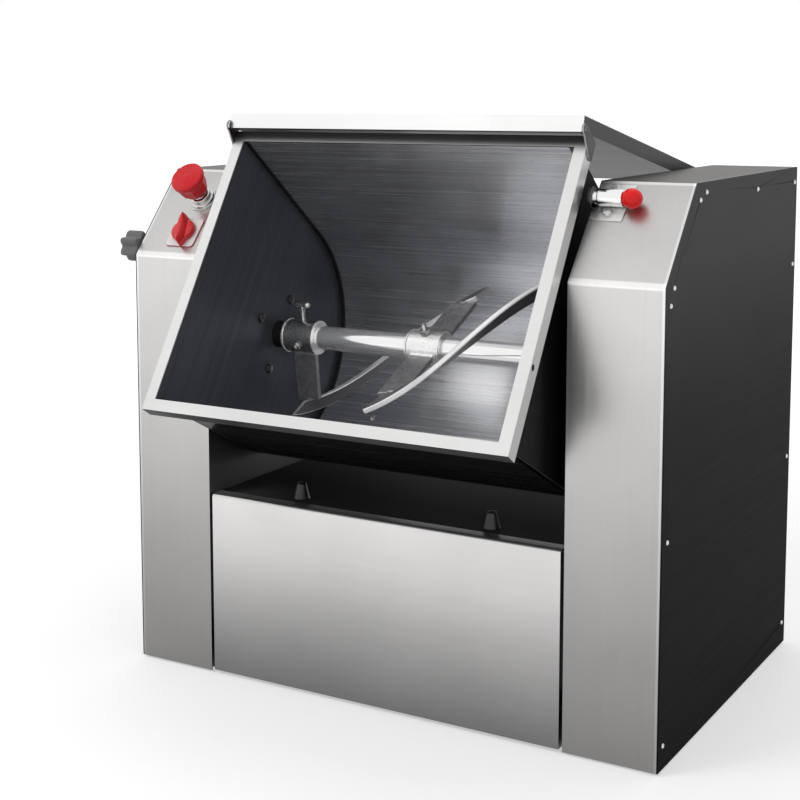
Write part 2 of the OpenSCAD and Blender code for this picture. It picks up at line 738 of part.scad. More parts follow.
// Hinge ears on the rim frame, and the pins in them
module hinge_ears() color("silver") tub_pose() both_sides() difference() {
  along_x(rim_x, ear_t) {
    translate([hinge_y, hinge_z]) circle(r = ear_r);
    polygon([[rim_y - ear_foot, face_h - rim_return + tub_t], [rim_y, face_h - rim_return + tub_t],
      [hinge_y + ear_r, hinge_z], [hinge_y - ear_r, hinge_z], [rim_y - ear_foot, face_h - rim_return / 2]]);
  }
  translate([0, hinge_y, hinge_z]) rod_x(rim_x - eps, ear_t + 2 * eps, lid_pin_d + 2 * fit);
}
pin_x0 = lid_x - lid_t + fit;
module hinge_pins() color("gray") tub_pose() both_sides() translate([0, hinge_y, hinge_z]) {
  rod_x(pin_x0, rim_x + ear_t + pin_head_h - pin_x0, lid_pin_d);
  rod_x(rim_x + ear_t, pin_head_h, pin_head_d);
}

// Trunnions, which carry the tub and let the agitator shaft through
module trunnion() difference() {
  union() {
    rod_x(flange_x, flange_t, flange_d);
    rod_x(flange_x, sleeve_end - flange_x, trunnion_d);
  }
  rod_x(flange_x - eps, sleeve_end - flange_x + 2 * eps, trunnion_bore);
  flange_bolt_places() rod_x(flange_x - eps, flange_t + 2 * eps, bolt_d + 2 * fit);
}
module trunnions() color("gray") tub_pose() both_sides() trunnion();
module trunnion_collars() color("gray") tub_pose() both_sides() difference() {
  rod_x(collar_x, collar_t, collar_d);
  rod_x(collar_x - eps, collar_t + 2 * eps, trunnion_d + 2 * fit);
}
nut_l = 4;
module trunnion_bolts() color("silver") tub_pose() both_sides() flange_bolt_places() rotate([0, 90, 0]) {
  translate([0, 0, end_x - bolt_head_h]) hexagon(bolt_wide_af, bolt_head_h);
  translate([0, 0, end_x - eps]) cylinder(h = end_t + flange_t + nut_l + 2 * eps, d = bolt_d);
  translate([0, 0, flange_x + flange_t]) hexagon(bolt_wide_af, nut_l);
}
module shaft_seals() color("black") tub_pose() both_sides() difference() {
  rod_x(end_x - seal_l, seal_l + end_t, seal_d);
  rod_x(end_x - seal_l - eps, seal_l + end_t + 2 * eps, shaft_d + 2 * seal_play);
}
module shaft_bearings() color("silver") tub_pose() both_sides() difference() {
  rod_x(flange_x + flange_t, roller_l, trunnion_bore - 2 * fit);
  rod_x(flange_x, 2 * roller_l, shaft_d + 2 * fit);
}

// Lid, a shallow pan, drawn closed and then turned open about its hinge
module lid_closed() difference() {
  union() {
    translate([-lid_x, -rim_y, lid_low]) cube([2 * lid_x, 2 * rim_y, lid_flange]);
    both_sides() translate([0, hinge_y, hinge_z]) rod_x(lid_x - lid_t, lid_t, 2 * lid_ear_r);
  }
  translate([-lid_x + lid_t, -rim_y + lid_t, lid_low - eps])
    cube([2 * (lid_x - lid_t), 2 * (rim_y - lid_t), lid_flange - lid_t + eps]);
  both_sides() translate([0, hinge_y, hinge_z]) rod_x(lid_x - 2 * lid_t, 3 * lid_t, lid_pin_d + 2 * fit);
}
module lid() color("lightgray") tub_pose() translate([0, hinge_y, hinge_z]) rotate([-lid_open, 0, 0])
  translate([0, -hinge_y, -hinge_z]) lid_closed();

// Agitator
module agitator_shaft() color("silver") at_axis() rod_x(-shaft_left, shaft_left + shaft_right, shaft_d);
module hub() {
  rod_x(-hub_l / 2, hub_l, hub_d);
  for (x = [-hub_l / 2, hub_l / 2 - hub_rim]) rod_x(x, hub_rim, hub_rim_d);
}
module hub_cuts(angles) {
  rod_x(-hub_l, 2 * hub_l, shaft_d + 2 * fit);
  for (a = angles) at_turn(a) rotate([-90, 0, 0]) cylinder(h = hub_d, d = bolt_d + 2 * fit);
}
// Angle and outer radius of the left ribbon: run is 0 at the end arm and 1 at the middle arm
function ribbon_a(run) = left_arm_a + (back_arm_a - left_arm_a) * run
  + 4 * ribbon_lead_a * run * (1 - run);
function ribbon_r(run) = end_sweep_r + (sweep_r - end_sweep_r) * run - 4 * ribbon_bow * run * (1 - run);
// One arm: a plate from the shaft to the ribbon's inner edge
module arm(run, way) translate([0, 0, -arm_t / 2]) linear_extrude(arm_t) polygon(concat(
  [[-arm_w / 2, shaft_d / 2], [arm_w / 2, shaft_d / 2]],
  [for (x = [arm_w / 2, 0, -arm_w / 2])
    [x, ribbon_r(run + way * x / hub_x) - ribbon_h - arm_tip_gap]]));
module left_hub_arm() color("gray") at_axis() translate([-hub_x, 0, 0]) difference() {
  union() {
    hub();
    at_turn(left_arm_a) arm(0, 1);
  }
  hub_cuts([left_arm_a + 180, left_arm_a - set_screw_turn]);
}
module right_hub_arm() color("gray") at_axis() translate([hub_x, 0, 0]) difference() {
  union() {
    hub();
    at_turn(left_arm_a + 180) arm(0, -1);
  }
  hub_cuts([left_arm_a, left_arm_a - set_screw_turn]);
}
module middle_hub_arms() color("lightgray") at_axis() difference() {
  union() {
    hub();
    at_turn(back_arm_a) arm(1, 1);
    at_turn(back_arm_a + 180) arm(1, -1);
  }
  hub_cuts([back_arm_a + 90, back_arm_a - 90]);
}

// Ribbon: a flat bar on edge that crosses the tips of an end arm and a middle arm, with slanted ends
function ribbon_pitch(run) = atan2(
  ribbon_r(run) * (back_arm_a - left_arm_a + 4 * ribbon_lead_a * (1 - 2 * run)) * PI / 180, hub_x);
function ribbon_point(run, v, r, turn) = let (a = ribbon_a(run) + turn, off = -v * cos(ribbon_pitch(run)))
  [hub_x * (run - 1) + v * sin(ribbon_pitch(run)), r * cos(a) - off * sin(a), r * sin(a) + off * cos(a)];
function ribbon_ring(t, turn) = let (
  outer = ((hub_x + ribbon_end_over + ribbon_over) * t - ribbon_end_over) / hub_x,
  inner = outer + ribbon_end_cut * (1 - 2 * t) / hub_x)
  [for (k = [0:3]) let (run = k < 2 ? inner : outer, v = k == 0 || k == 3 ? -ribbon_t / 2 : ribbon_t / 2)
    ribbon_point(run, v, ribbon_r(run) - (k < 2 ? ribbon_h : 0), turn)];
function ribbon_rings(turn) = [for (i = [0:ribbon_steps]) each ribbon_ring(i / ribbon_steps, turn)];
function tube_faces(rings) = concat([[0, 1, 2], [0, 2, 3]],
  [for (i = [0:rings - 2]) for (k = [0:3]) let (a = 4 * i + k, b = 4 * i + (k + 1) % 4)
    each [[a, a + 4, b + 4], [a, b + 4, b]]],
  let (e = 4 * (rings - 1)) [[e + 2, e + 1, e], [e + 3, e + 2, e]]);
module ribbon(turn) polyhedron(ribbon_rings(turn), tube_faces(ribbon_steps + 1), convexity = 4);
module left_ribbon() color("silver") at_axis() ribbon(0);
module right_ribbon() color("silver") at_axis() mirror([1, 0, 0]) ribbon(180);

// Clamp bolts of the hubs
seat_r = shaft_d / 2 + fit;
module tee_bolt() {
  translate([0, 0, seat_r]) cylinder(h = tee_r - seat_r, d = bolt_d);
  translate([-hub_l / 4, 0, tee_r]) rotate([0, 90, 0]) cylinder(h = hub_l / 2, d = bolt_d * 1.3);
}
module set_screw() {
  translate([0, 0, seat_r]) cylinder(h = hub_d / 2 - seat_r + bolt_d / 2, d = bolt_d);
  translate([0, 0, hub_d / 2 + slack]) cylinder(h = bolt_d / 2, d = bolt_wide_af);
}
module stud_nut() {
  translate([0, 0, seat_r]) cylinder(h = stud_r - seat_r, d = bolt_d);
  translate([0, 0, hub_d / 2 + slack]) hexagon(nut_af, bolt_d * 0.9);
}
module hub_bolt(x, a) at_axis() translate([x, 0, 0]) at_turn(a) rotate([-90, 0, 0]) children();
module hub_bolts() color("silver") {
  hub_bolt(-hub_x, left_arm_a + 180) tee_bolt();
  hub_bolt(-hub_x, left_arm_a - set_screw_turn) set_screw();
  hub_bolt(hub_x, left_arm_a) tee_bolt();
  hub_bolt(hub_x, left_arm_a - set_screw_turn) set_screw();
  hub_bolt(0, back_arm_a + 90) stud_nut();
  hub_bolt(0, back_arm_a - 90) stud_nut();
}

// Emergency stop
module estop_collar() color("gainsboro") on_slant(estop_x, estop_s) difference() {
  union() {
    translate([0, 0, -neck_h]) cylinder(h = neck_h, d = neck_d);
    cylinder(h = collar_step, d = collar_d1);
    translate([0, 0, collar_step]) cylinder(h = collar_step, d = collar_d2);
    translate([0, 0, 2 * collar_step]) cylinder(h = collar_step, d = collar_d3);
    translate([0, 0, -cover_t - nut_h - fit]) hexagon(nut_d, nut_h);
  }
  translate([0, 0, -neck_h - eps]) cylinder(h = neck_h + 3 * collar_step + 2 * eps, d = stem_d + 2 * fit);
}
module estop_contact_block() color("black") {
  on_slant(estop_x, estop_s, -neck_h - block_h) translate([-block_w / 2, -block_w / 2, 0])
    cube([block_w, block_w, block_h]);
}
module estop_stem() color("gainsboro") on_slant(estop_x, estop_s, -neck_h + cap_wall)
  cylinder(h = estop_h - cap_wall + neck_h - cap_wall - slack, d = stem_d);
module estop_cap() color("red") on_slant(estop_x, estop_s) difference() {
  rotate_extrude() polygon([[0, cap_low], [cap_neck_r, cap_low], [cap_skirt_r, cap_skirt_h - 3 * cap_edge],
    [estop_d / 2 - cap_edge, cap_skirt_h], [estop_d / 2, cap_skirt_h + cap_edge],
    [estop_d / 2, estop_h - 2 * cap_edge], [estop_d / 2 - cap_edge, estop_h - cap_edge / 2], [0, estop_h]]);
  translate([0, 0, cap_low - eps]) cylinder(h = estop_h - cap_low - cap_wall + eps, d = stem_d + 2 * fit);
}

// Selector switch: a thin red backing under a pale plate, and the switch body behind it
module rounded_square(w, r) {
  square([w - 2 * r, w], center = true);
  square([w, w - 2 * r], center = true);
  for (x = [-1, 1], y = [-1, 1]) translate([x, y] * (w / 2 - r)) circle(r = r);
}
module selector_plate() color("gainsboro") on_slant(selector_x, selector_s) difference() {
  union() {
    linear_extrude(legend_t / 2)
      rounded_square(selector_w + 2 * selector_edge, selector_corner + selector_edge);
    translate([0, 0, legend_t / 2]) linear_extrude(legend_t / 2)
      rounded_square(selector_w, selector_corner);
  }
  translate([0, 0, -eps]) cylinder(h = legend_t + 2 * eps, d = selector_shaft_d + 2 * fit);
}
module selector_body() color("black") on_slant(selector_x, selector_s) difference() {
  union() {
    translate([0, 0, -neck_h]) cylinder(h = neck_h, d = switch_thread_d);
    translate([-selector_body_d / 2, -selector_body_d / 2, -selector_body_h])
      cube([selector_body_d, selector_body_d, selector_body_h - neck_h]);
  }
  translate([0, 0, -neck_h - eps]) cylinder(h = neck_h + 2 * eps, d = selector_shaft_d + 2 * fit);
}
module selector_knob() color("red") on_slant(selector_x, selector_s) rotate([0, 0, knob_turn]) {
  translate([0, 0, -neck_h + slack]) cylinder(h = neck_h + knob_low, d = selector_shaft_d);
  translate([0, 0, knob_low]) cylinder(h = knob_h / 2, r = knob_disc_r);
  translate([0, 0, knob_low]) linear_extrude(knob_h) polygon([
    [0, knob_len / 2], [knob_bar_w / 2, knob_len / 4],
    [knob_bar_w / 2, -knob_len / 4], [0, -knob_len / 2], [-knob_bar_w / 2, -knob_len / 4],
    [-knob_bar_w / 2, knob_len / 4]]);
}

// Lock pin, which slides in a guide on its bracket and enters a hole in the upright tub's rim
module pin_bracket() color("gray") {
  difference() {
    on_slant(bracket_x, 0) linear_extrude(bracket_t) polygon([[0, bracket_s0],
      [bracket_w, bracket_s0], [bracket_w + bracket_skew, bracket_s1], [0, bracket_s1]]);
    for (s = bracket_bolt_s) on_slant(bracket_bolt_x, s, -eps)
      cylinder(h = bracket_t + 2 * eps, d = bracket_bolt_d + 2 * fit);
  }
  difference() {
    union() {
      on_slant(bracket_x, pin_s - lug_foot_w / 2, bracket_t) cube([lug_t, lug_foot_w, pin_h - bracket_t]);
      translate([0, pin_y, pin_z]) rod_x(bracket_x, lug_t, lug_w);
      translate([0, pin_y, pin_z]) rod_x(bracket_x, guide_l, guide_d);
    }
    translate([0, pin_y, pin_z]) rod_x(bracket_x - eps, guide_l + 2 * eps, pin_d + 2 * fit);
    on_slant(bracket_x - eps, 0, -through + bracket_t) cube([through, through, through]);
  }
}
module pin_bracket_bolts() color("silver") for (s = bracket_bolt_s) {
  on_slant(bracket_bolt_x, s, bracket_t) hexagon(bolt_af, bolt_head_h);
  on_slant(bracket_bolt_x, s, -4 * cover_t) cylinder(h = bracket_t + 5 * cover_t, d = bracket_bolt_d);
}
module lock_pin() color("silver") translate([0, pin_y, pin_z]) {
  rod_x(pin_tip_x, pin_tip_l, pin_tip_d);
  rod_x(pin_tip_x + pin_tip_l, barrel_end - pin_tip_x - pin_tip_l, pin_d);
  difference() {
    rod_x(barrel_x, barrel_end - barrel_x, barrel_d);
    rod_x(barrel_x - eps, barrel_end - barrel_cap - barrel_x + eps, guide_d + 2 * slack);
  }
  rod_x(barrel_end, ball_stud_l, ball_stud_d);
}
ball_cut = barrel_end + fit - ball_x;
ball_cut_a = asin(ball_cut / ball_d * 2);
ball_steps = 24;
ball_bore_r = ball_stud_d / 2 + fit;
ball_bore_end = barrel_end + ball_stud_l + slack - ball_x;
module ball_knob() color("red") translate([ball_x, pin_y, pin_z]) rotate([0, 90, 0]) rotate_extrude()
  polygon(concat([[ball_bore_r, ball_cut]],
    [for (i = [0:ball_steps]) let (a = ball_cut_a + (90 - ball_cut_a) * i / ball_steps)
      ball_d / 2 * [i == ball_steps ? 0 : cos(a), sin(a)]],
    [[0, ball_bore_end], [ball_bore_r, ball_bore_end]]));

// Star knob on the left side panel, on its fixed stud
module side_knob() color("gray") translate([-side_x, knob_y, knob_z]) rotate([0, -90, 0]) {
  translate([0, 0, knob_gap]) difference() {
    union() {
      linear_extrude(knob_l) {
        circle(d = side_knob_d - 2 * knob_lobe_r);
        for (a = [0:60:300]) rotate(a)
          translate([side_knob_d / 2 - knob_lobe_r, 0]) circle(r = knob_lobe_r);
      }
    }
    translate([0, 0, -eps]) cylinder(h = knob_bore_l, d = stud_d);
  }
  translate([0, 0, -boss_l]) cylinder(h = boss_l + knob_gap + knob_bore_l - eps, d = stud_d);
}

base_cross_rails();
base_side_rails();
motor_rails();
inner_plates();
left_column_cover();
right_column_cover();
left_side_panel();
right_side_panel();
side_panel_screws();
rear_covers();
cable_gland();
front_panel();
rear_panel();
shelf_plate();
shelf_bumpers();
contactor_box();
trunnion_bearings();
bearing_bolts();
motor_body();
motor_terminal_box();
motor_shaft();
motor_pulley();
drive_belt();
jackshaft_housing();
jackshaft();
pinion();
large_pulley();
driven_gear();
tub_wall();
tub_left_end();
tub_right_end();
tub_rim_frame();
wall_plug();
hinge_ears();
hinge_pins();
trunnions();
trunnion_collars();
trunnion_bolts();
shaft_seals();
shaft_bearings();
lid();
agitator_shaft();
left_hub_arm();
middle_hub_arms();
right_hub_arm();
left_ribbon();
right_ribbon();
hub_bolts();
estop_collar();
estop_contact_block();
estop_stem();
estop_cap();
selector_plate();
selector_body();
selector_knob();
pin_bracket();
pin_bracket_bolts();
lock_pin();
ball_knob();
side_knob();
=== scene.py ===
# Flour mixer with a tilting tub: its looks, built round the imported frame. Metres, +Z up, the same frame.
import math

import bmesh
import bpy
from mathutils import Matrix, Vector


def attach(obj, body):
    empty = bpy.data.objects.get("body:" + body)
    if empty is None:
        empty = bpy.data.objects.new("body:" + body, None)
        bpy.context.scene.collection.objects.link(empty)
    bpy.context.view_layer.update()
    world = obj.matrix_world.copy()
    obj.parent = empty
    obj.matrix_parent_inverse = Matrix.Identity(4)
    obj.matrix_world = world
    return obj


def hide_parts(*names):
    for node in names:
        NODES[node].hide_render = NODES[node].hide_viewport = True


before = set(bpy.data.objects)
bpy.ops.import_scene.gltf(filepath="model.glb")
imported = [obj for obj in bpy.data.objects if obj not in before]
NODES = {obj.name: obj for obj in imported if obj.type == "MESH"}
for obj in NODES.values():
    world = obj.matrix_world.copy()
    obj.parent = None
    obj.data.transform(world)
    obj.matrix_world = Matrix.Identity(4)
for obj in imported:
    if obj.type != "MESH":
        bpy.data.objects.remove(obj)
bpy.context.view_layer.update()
MM = 0.001

# Sizes that the frame has too, in millimetres. Angles are in degrees, but SLANT and TILT in radians
# Body: its faces, the lower fold of its slanted faces, and how far these run back and rise
FRONT_Y, REAR_Y, SIDE_X, BEND_Z = -218.0, 218.0, 320.0, 482.0
SLANT_RUN, SLANT_RISE = 83.0, 95.0
SLANT = math.atan2(SLANT_RISE, SLANT_RUN)
TOP_Z = BEND_Z + SLANT_RISE

# Tub: its axis, its tilt at rest, its end plates, its bowl and the plug in the bowl
AXIS_Y, AXIS_Z, TILT = -97.0, 381.0, math.radians(57.8)
END_X, BOWL_R = 202.0, 141.0
PLUG_X, PLUG_ANGLE = -127.0, -108.7

# Agitator: its hubs, the seat on the shaft, its arms, and how the end hubs' screws stand to their arms
HUB_X, HUB_LENGTH, HUB_R, SEAT_R = 166.0, 43.0, 19.0, 14.05
ARM_W, ARM_T = 30.0, 6.0
END_ARM_ANGLE, MIDDLE_ARM_ANGLE, SCREW_TURN = -82.5, 24.5, 70.0

# Ribbons: the section, the outer radius at both arms and how far it dips between them, how far the twist
# leads there, and how far the bars run past their arms and are cut slanted
RIBBON_H, RIBBON_T = 15.0, 6.0
END_SWEEP_R, MIDDLE_SWEEP_R, RIBBON_BOW, RIBBON_LEAD = 93.0, 108.0, 9.2, 15.8
RIBBON_END_OVER, RIBBON_MIDDLE_OVER, RIBBON_CUT = 12.0, 25.0, 9.0

# Controls on the slanted faces, where s runs up the face from its lower fold
ESTOP_X, ESTOP_S, CAP_R, CAP_LOW, CAP_TOP = -260.0, 81.0, 20.0, 17.5, 45.0
SELECTOR_X, SELECTOR_S, SELECTOR_TURN, PLATE_W = -264.0, 33.0, 13.0, 39.0
PIN_S, PIN_H, BALL_X, BALL_R = 95.0, 12.5, 263.6, 10.4
BRACKET_S = (74.9, 119.9)
BRACKET_BOLT_X, BRACKET_BOLT_S = 238.0, (83.0, 113.5)

# Bumpers on the shelf, and the star knob on the left side panel
SHELF_TOP, BUMPER_X, BUMPER_Y = 210.5, 119.0, -178.0
KNOB_Y, KNOB_Z, KNOB_LOBES = -200.0, 489.0, 6

# Screws of a side panel: shares along the top edge and of the band below it, then shares below the bend
TOP_BAND = 20.0
TOP_SCREW_SHARES = ((0.074, 0.52), (0.023, 0.865), (0.561, 0.865), (0.969, 0.865))
LOW_SCREW_SHARES = ((0.046, 0.996), (0.026, 0.962), (0.975, 0.962), (0.032, 0.481), (0.972, 0.484),
                    (0.968, 0.060), (0.028, 0.056))
TOP_SCREWS = [(FRONT_Y + SLANT_RUN + x * (REAR_Y - FRONT_Y - SLANT_RUN), TOP_Z - y * TOP_BAND)
              for x, y in TOP_SCREW_SHARES]
LOW_SCREWS = [(FRONT_Y + x * (REAR_Y - FRONT_Y), y * BEND_Z) for x, y in LOW_SCREW_SHARES]
# The number of the screw whose place the star knob takes on the left, and the turn from one screw to the next
KNOB_SCREW, SCREW_STEP = 4, 37.0

# Camera, in metres, and its lens in pixels of the photo's frame
FRAME_PX, FOCAL_PX, CENTRE_PX, SENSOR = 800, 1561.71, (340.222, 269.688), 36
CAMERA_AT = (0.82315, -1.62406, 0.671537)
CAMERA_RIGHT = (0.851979, 0.523555, -0.004704)
CAMERA_UP = (-0.056595, 0.101021, 0.993273)
CAMERA_LOOK = (-0.520509, 0.845981, -0.115698)

# Light: the world's diffuse level, the floor's own glow near and far, where it changes, and the lamps' target
WORLD_LIGHT, FLOOR_GLOW, GLOW_REACH, LIT = 0.50, (0.48, 0.76), (0.9, 3.0), (0.0, 0.0, 0.35)
FLOOR_R, FLOOR_Z = 14, -0.0005
# Lamps: name, place, size and watts
LAMPS = (("key", (-1.6, -2.2, 2.6), 1.6, 42.0),
         ("fill", (2.6, -2.0, 1.4), 2.0, 14.0),
         ("top", (0.0, 0.6, 3.0), 2.2, 20.0))


# Camera
def make_camera():
    cam = bpy.data.objects.new("camera", bpy.data.cameras.new("camera"))
    bpy.context.scene.collection.objects.link(cam)
    back = -Vector(CAMERA_LOOK)
    m = Matrix((Vector(CAMERA_RIGHT), Vector(CAMERA_UP), back)).transposed().to_4x4()
    m.translation = CAMERA_AT
    cam.matrix_world = m
    cam.data.sensor_width = SENSOR
    cam.data.lens = SENSOR * FOCAL_PX / FRAME_PX
    cam.data.shift_x = (FRAME_PX / 2 - CENTRE_PX[0]) / FRAME_PX
    cam.data.shift_y = (CENTRE_PX[1] - FRAME_PX / 2) / FRAME_PX
    cam.data.clip_start, cam.data.clip_end = 0.05, 50
    bpy.context.scene.camera = cam


make_camera()


# Materials
class Graph:
    """A material's node tree, with short calls for the nodes used here."""

    SOCKETS = {"metallic": "Metallic", "rough": "Roughness", "coat": "Coat Weight",
               "coat_rough": "Coat Roughness", "spec": "Specular IOR Level"}

    def __init__(self, name, **sockets):
        self.mat = bpy.data.materials.new(name)
        self.mat.use_nodes = True
        self.tree = self.mat.node_tree
        self.bsdf = self.tree.nodes["Principled BSDF"]
        for key, value in sockets.items():
            self.bsdf.inputs[self.SOCKETS[key]].default_value = value

    def node(self, kind, **props):
        n = self.tree.nodes.new("ShaderNode" + kind)
        for key, value in props.items():
            setattr(n, key, value)
        return n

    def link(self, out, into):
        self.tree.links.new(out, into)

    def place(self, tilt=0.0):
        """Object coordinates, turned about X by -tilt, so that they run with a tilted piece."""
        out = self.node("TexCoord").outputs["Object"]
        if tilt:
            m = self.node("Mapping")
            m.inputs["Rotation"].default_value = (-tilt, 0, 0)
            self.link(out, m.inputs["Vector"])
            out = m.outputs["Vector"]
        return out

    def scaled(self, vector, scale):
        m = self.node("Mapping")
        m.inputs["Scale"].default_value = scale
        self.link(vector, m.inputs["Vector"])
        return m.outputs["Vector"]

    def noise(self, vector, detail, scale=1.0, rough=0.55):
        n = self.node("TexNoise")
        self.link(vector, n.inputs["Vector"])
        n.inputs["Scale"].default_value = scale
        n.inputs["Detail"].default_value = detail
        n.inputs["Roughness"].default_value = rough
        return n.outputs["Fac"]

    def both(self, fine, broad, share):
        """Two noises as one, with the fine one's share."""
        return self.math("ADD", self.math("MULTIPLY", fine, share), self.math("MULTIPLY", broad, 1 - share))

    def ramp(self, fac, stops):
        """Grey levels at the given positions."""
        n = self.node("ValToRGB")
        el = n.color_ramp.elements
        while len(el) < len(stops):
            el.new(0.5)
        for e, (position, level) in zip(el, stops):
            e.position = position
            e.color = (level, level, level, 1)
        self.link(fac, n.inputs["Fac"])
        return n.outputs["Color"]

    def range(self, value, a, b, c=0.0, d=1.0, smooth=False):
        n = self.node("MapRange", interpolation_type="SMOOTHSTEP" if smooth else "LINEAR")
        self.link(value, n.inputs["Value"])
        for key, v in zip(("From Min", "From Max", "To Min", "To Max"), (a, b, c, d)):
            n.inputs[key].default_value = v
        return n.outputs["Result"]

    def stripe(self, value, centre, half, share):
        """The share where value is close to centre, and 1 from half its width on."""
        near = self.math("ABSOLUTE", self.math("SUBTRACT", value, centre))
        return self.range(near, half * STRIPE_CORE, half, share, 1.0, smooth=True)

    def math(self, op, a, b=None):
        n = self.node("Math", operation=op)
        for i, v in enumerate((a, b)):
            if isinstance(v, (int, float)):
                n.inputs[i].default_value = v
            elif v is not None:
                self.link(v, n.inputs[i])
        return n.outputs["Value"]

    def mix(self, a, b, fac=1.0, mode="MULTIPLY"):
        """The colour a mixed with the output b."""
        n = self.node("Mix", data_type="RGBA", blend_type=mode)
        factor, first, second = n.inputs[0], n.inputs[6], n.inputs[7]
        factor.default_value = fac
        first.default_value = (*a, 1)
        self.link(b, second)
        return n.outputs[2]

    def split(self, vector):
        n = self.node("SeparateXYZ")
        self.link(vector, n.inputs["Vector"])
        return n.outputs

    def colour(self, out):
        self.link(out, self.bsdf.inputs["Base Color"])

    def roughness(self, out):
        self.link(out, self.bsdf.inputs["Roughness"])

    def bump(self, height, strength, distance=0.0003):
        n = self.node("Bump")
        n.inputs["Strength"].default_value = strength
        n.inputs["Distance"].default_value = distance
        self.link(height, n.inputs["Height"])
        self.link(n.outputs["Normal"], self.bsdf.inputs["Normal"])


# The part of a stripe's half width that has its full share
STRIPE_CORE = 0.55
# The levels of each noise that are taken as its darkest and its brightest
GRAIN_SPREAD, CAST_SPREAD, PATCH_SPREAD, ROUGH_SPREAD = (0.32, 0.68), (0.33, 0.67), (0.3, 0.7), (0.35, 0.65)
# The fine noise's share in the sum, and the broad noise's scale as a share of the fine one's, for both kinds
GRAIN_FINE_SHARE, GRAIN_BROAD_SHARE, CAST_FINE_SHARE, CAST_BROAD_SHARE = 0.6, 0.18, 0.55, 0.25
CLOUD_SCALE, WEAR_SCALE = 7.0, 45.0
# The steps of a face's direction over which it counts as a side, a top or an underside, for painted shade by
# facing
SIDE_FACES, TOP_FACES, UNDER_FACES = (0.55, 0.8), (0.85, 0.95), (-0.5, -0.2)
# The tub's painted shade: steps in metres from its inner to its outer faces, and along X to its end faces
OUTER_STEP, END_STEP = (-0.01, 0.01), (0.02, 0.08)
# Where the painted shade on the tub's outer faces gets lighter towards its back, and up to which share
BACK_STEP, BACK_SHARE = (-0.10, 0.02), 0.4


def brushed(name, tint, grain, contrast, rough, tilt=0.0, height=None, painted_fold_highlights=(), painted_side_shade=None, painted_top_shade=None,
            painted_under_shade=None, painted_outer_shade=None, ends=None, hinge=None, fold=None, glance=0.0, cloud=0.05, bump=0.12,
            metallic=1.0, spec=0.5):
    """Brushed or polished sheet steel.

    grain is the noise scale along X, Y and Z, small along the brushing; tilt turns it with a tilted piece.
    contrast is the grain's, and cloud that of large soft spots. rough is the range of roughness.
    height is a list of (z, share) of painted shade from the floor up.
    painted_fold_highlights holds (z, half width, share) of painted highlights along folded edges.
    fold is (x, half width, share) of a painted stripe along an edge at -x and x: a painted highlight where
    share is above 1, painted shade where it is below.
    painted_side_shade, painted_top_shade and painted_under_shade are the shares of painted shade on faces
    towards X, up and down.
    painted_outer_shade is the share of painted shade on faces away from the tub's axis in front, ends that of
    painted shade on faces away from its middle.
    hinge is (from, to, share) of a painted shadow along the tub's mouth towards the lid's hinged edge.
    glance is how much of the painted shade the flat reflections get too.
    """
    g = Graph(name, metallic=metallic, spec=spec)
    run = g.place(tilt)
    here = g.split(g.place())
    normal = g.split(g.node("TexCoord").outputs["Normal"])
    fine = g.noise(g.scaled(run, grain), 5.0, rough=0.65)
    broad = g.noise(g.scaled(run, tuple(v * GRAIN_BROAD_SHARE for v in grain)), 2.0)
    lines = g.both(fine, broad, GRAIN_FINE_SHARE)
    clouds = g.noise(run, 2.0, CLOUD_SCALE)
    shares = [g.range(lines, *GRAIN_SPREAD, 1 - contrast, 1 + contrast),
              g.range(clouds, *PATCH_SPREAD, 1 - cloud, 1 + cloud)]
    # Painted shade from the floor up
    if height:
        top = max(z for z, _ in height)
        shares.append(g.ramp(g.math("DIVIDE", here["Z"], top), [(z / top, share) for z, share in height]))
    # Painted highlights along folded edges
    for centre, half, share in painted_fold_highlights:
        shares.append(g.stripe(here["Z"], centre, half, share))
    # Painted shade on faces towards X, up and down
    if painted_side_shade:
        shares.append(g.range(g.math("ABSOLUTE", normal["X"]), *SIDE_FACES, 1.0, painted_side_shade))
    if painted_top_shade:
        shares.append(g.range(normal["Z"], *TOP_FACES, 1.0, painted_top_shade))
    if painted_under_shade:
        shares.append(g.range(normal["Z"], *UNDER_FACES, painted_under_shade, 1.0))
    # Painted shade on the tub's outer faces in front, lighter towards its back
    if painted_outer_shade:
        arm_y = g.math("SUBTRACT", here["Y"], AXIS_Y * MM)
        arm_z = g.math("SUBTRACT", here["Z"], AXIS_Z * MM)
        away = g.math("ADD", g.math("MULTIPLY", normal["Y"], arm_y), g.math("MULTIPLY", normal["Z"], arm_z))
        outer = g.range(away, *OUTER_STEP)
        shade = g.math("MULTIPLY", outer, g.range(here["Y"], *BACK_STEP, painted_outer_shade, BACK_SHARE))
        shares.append(g.math("ADD", g.math("SUBTRACT", 1.0, outer), shade))
    # Painted shade on the end plates' outer faces
    if ends:
        shares.append(g.range(g.math("MULTIPLY", normal["X"], here["X"]), *END_STEP, 1.0, ends))
    # A painted stripe along an edge at -x and x, a painted highlight above a share of 1 and painted shade
    # below
    if fold:
        shares.append(g.stripe(g.math("ABSOLUTE", here["X"]), *fold))
    # A painted shadow along the tub's mouth towards the lid's hinged edge
    if hinge:
        start, end, share = hinge
        middle = (AXIS_Y * math.cos(TILT) + AXIS_Z * math.sin(TILT)) * MM
        along = g.math("SUBTRACT", g.split(g.place(TILT))["Y"], middle)
        shares.append(g.range(along, start, end, 1.0, share))
    shade = shares[0]
    for share in shares[1:]:
        shade = g.math("MULTIPLY", shade, share)
    colour = g.mix(tint, shade)
    g.colour(colour)
    # The reflections take on the painted shade as far as glance says
    if glance:
        g.link(g.mix((1, 1, 1), colour, glance, "MIX"), g.bsdf.inputs["Specular Tint"])
    g.roughness(g.range(lines, *ROUGH_SPREAD, *rough))
    g.bump(lines, bump)
    return g.mat


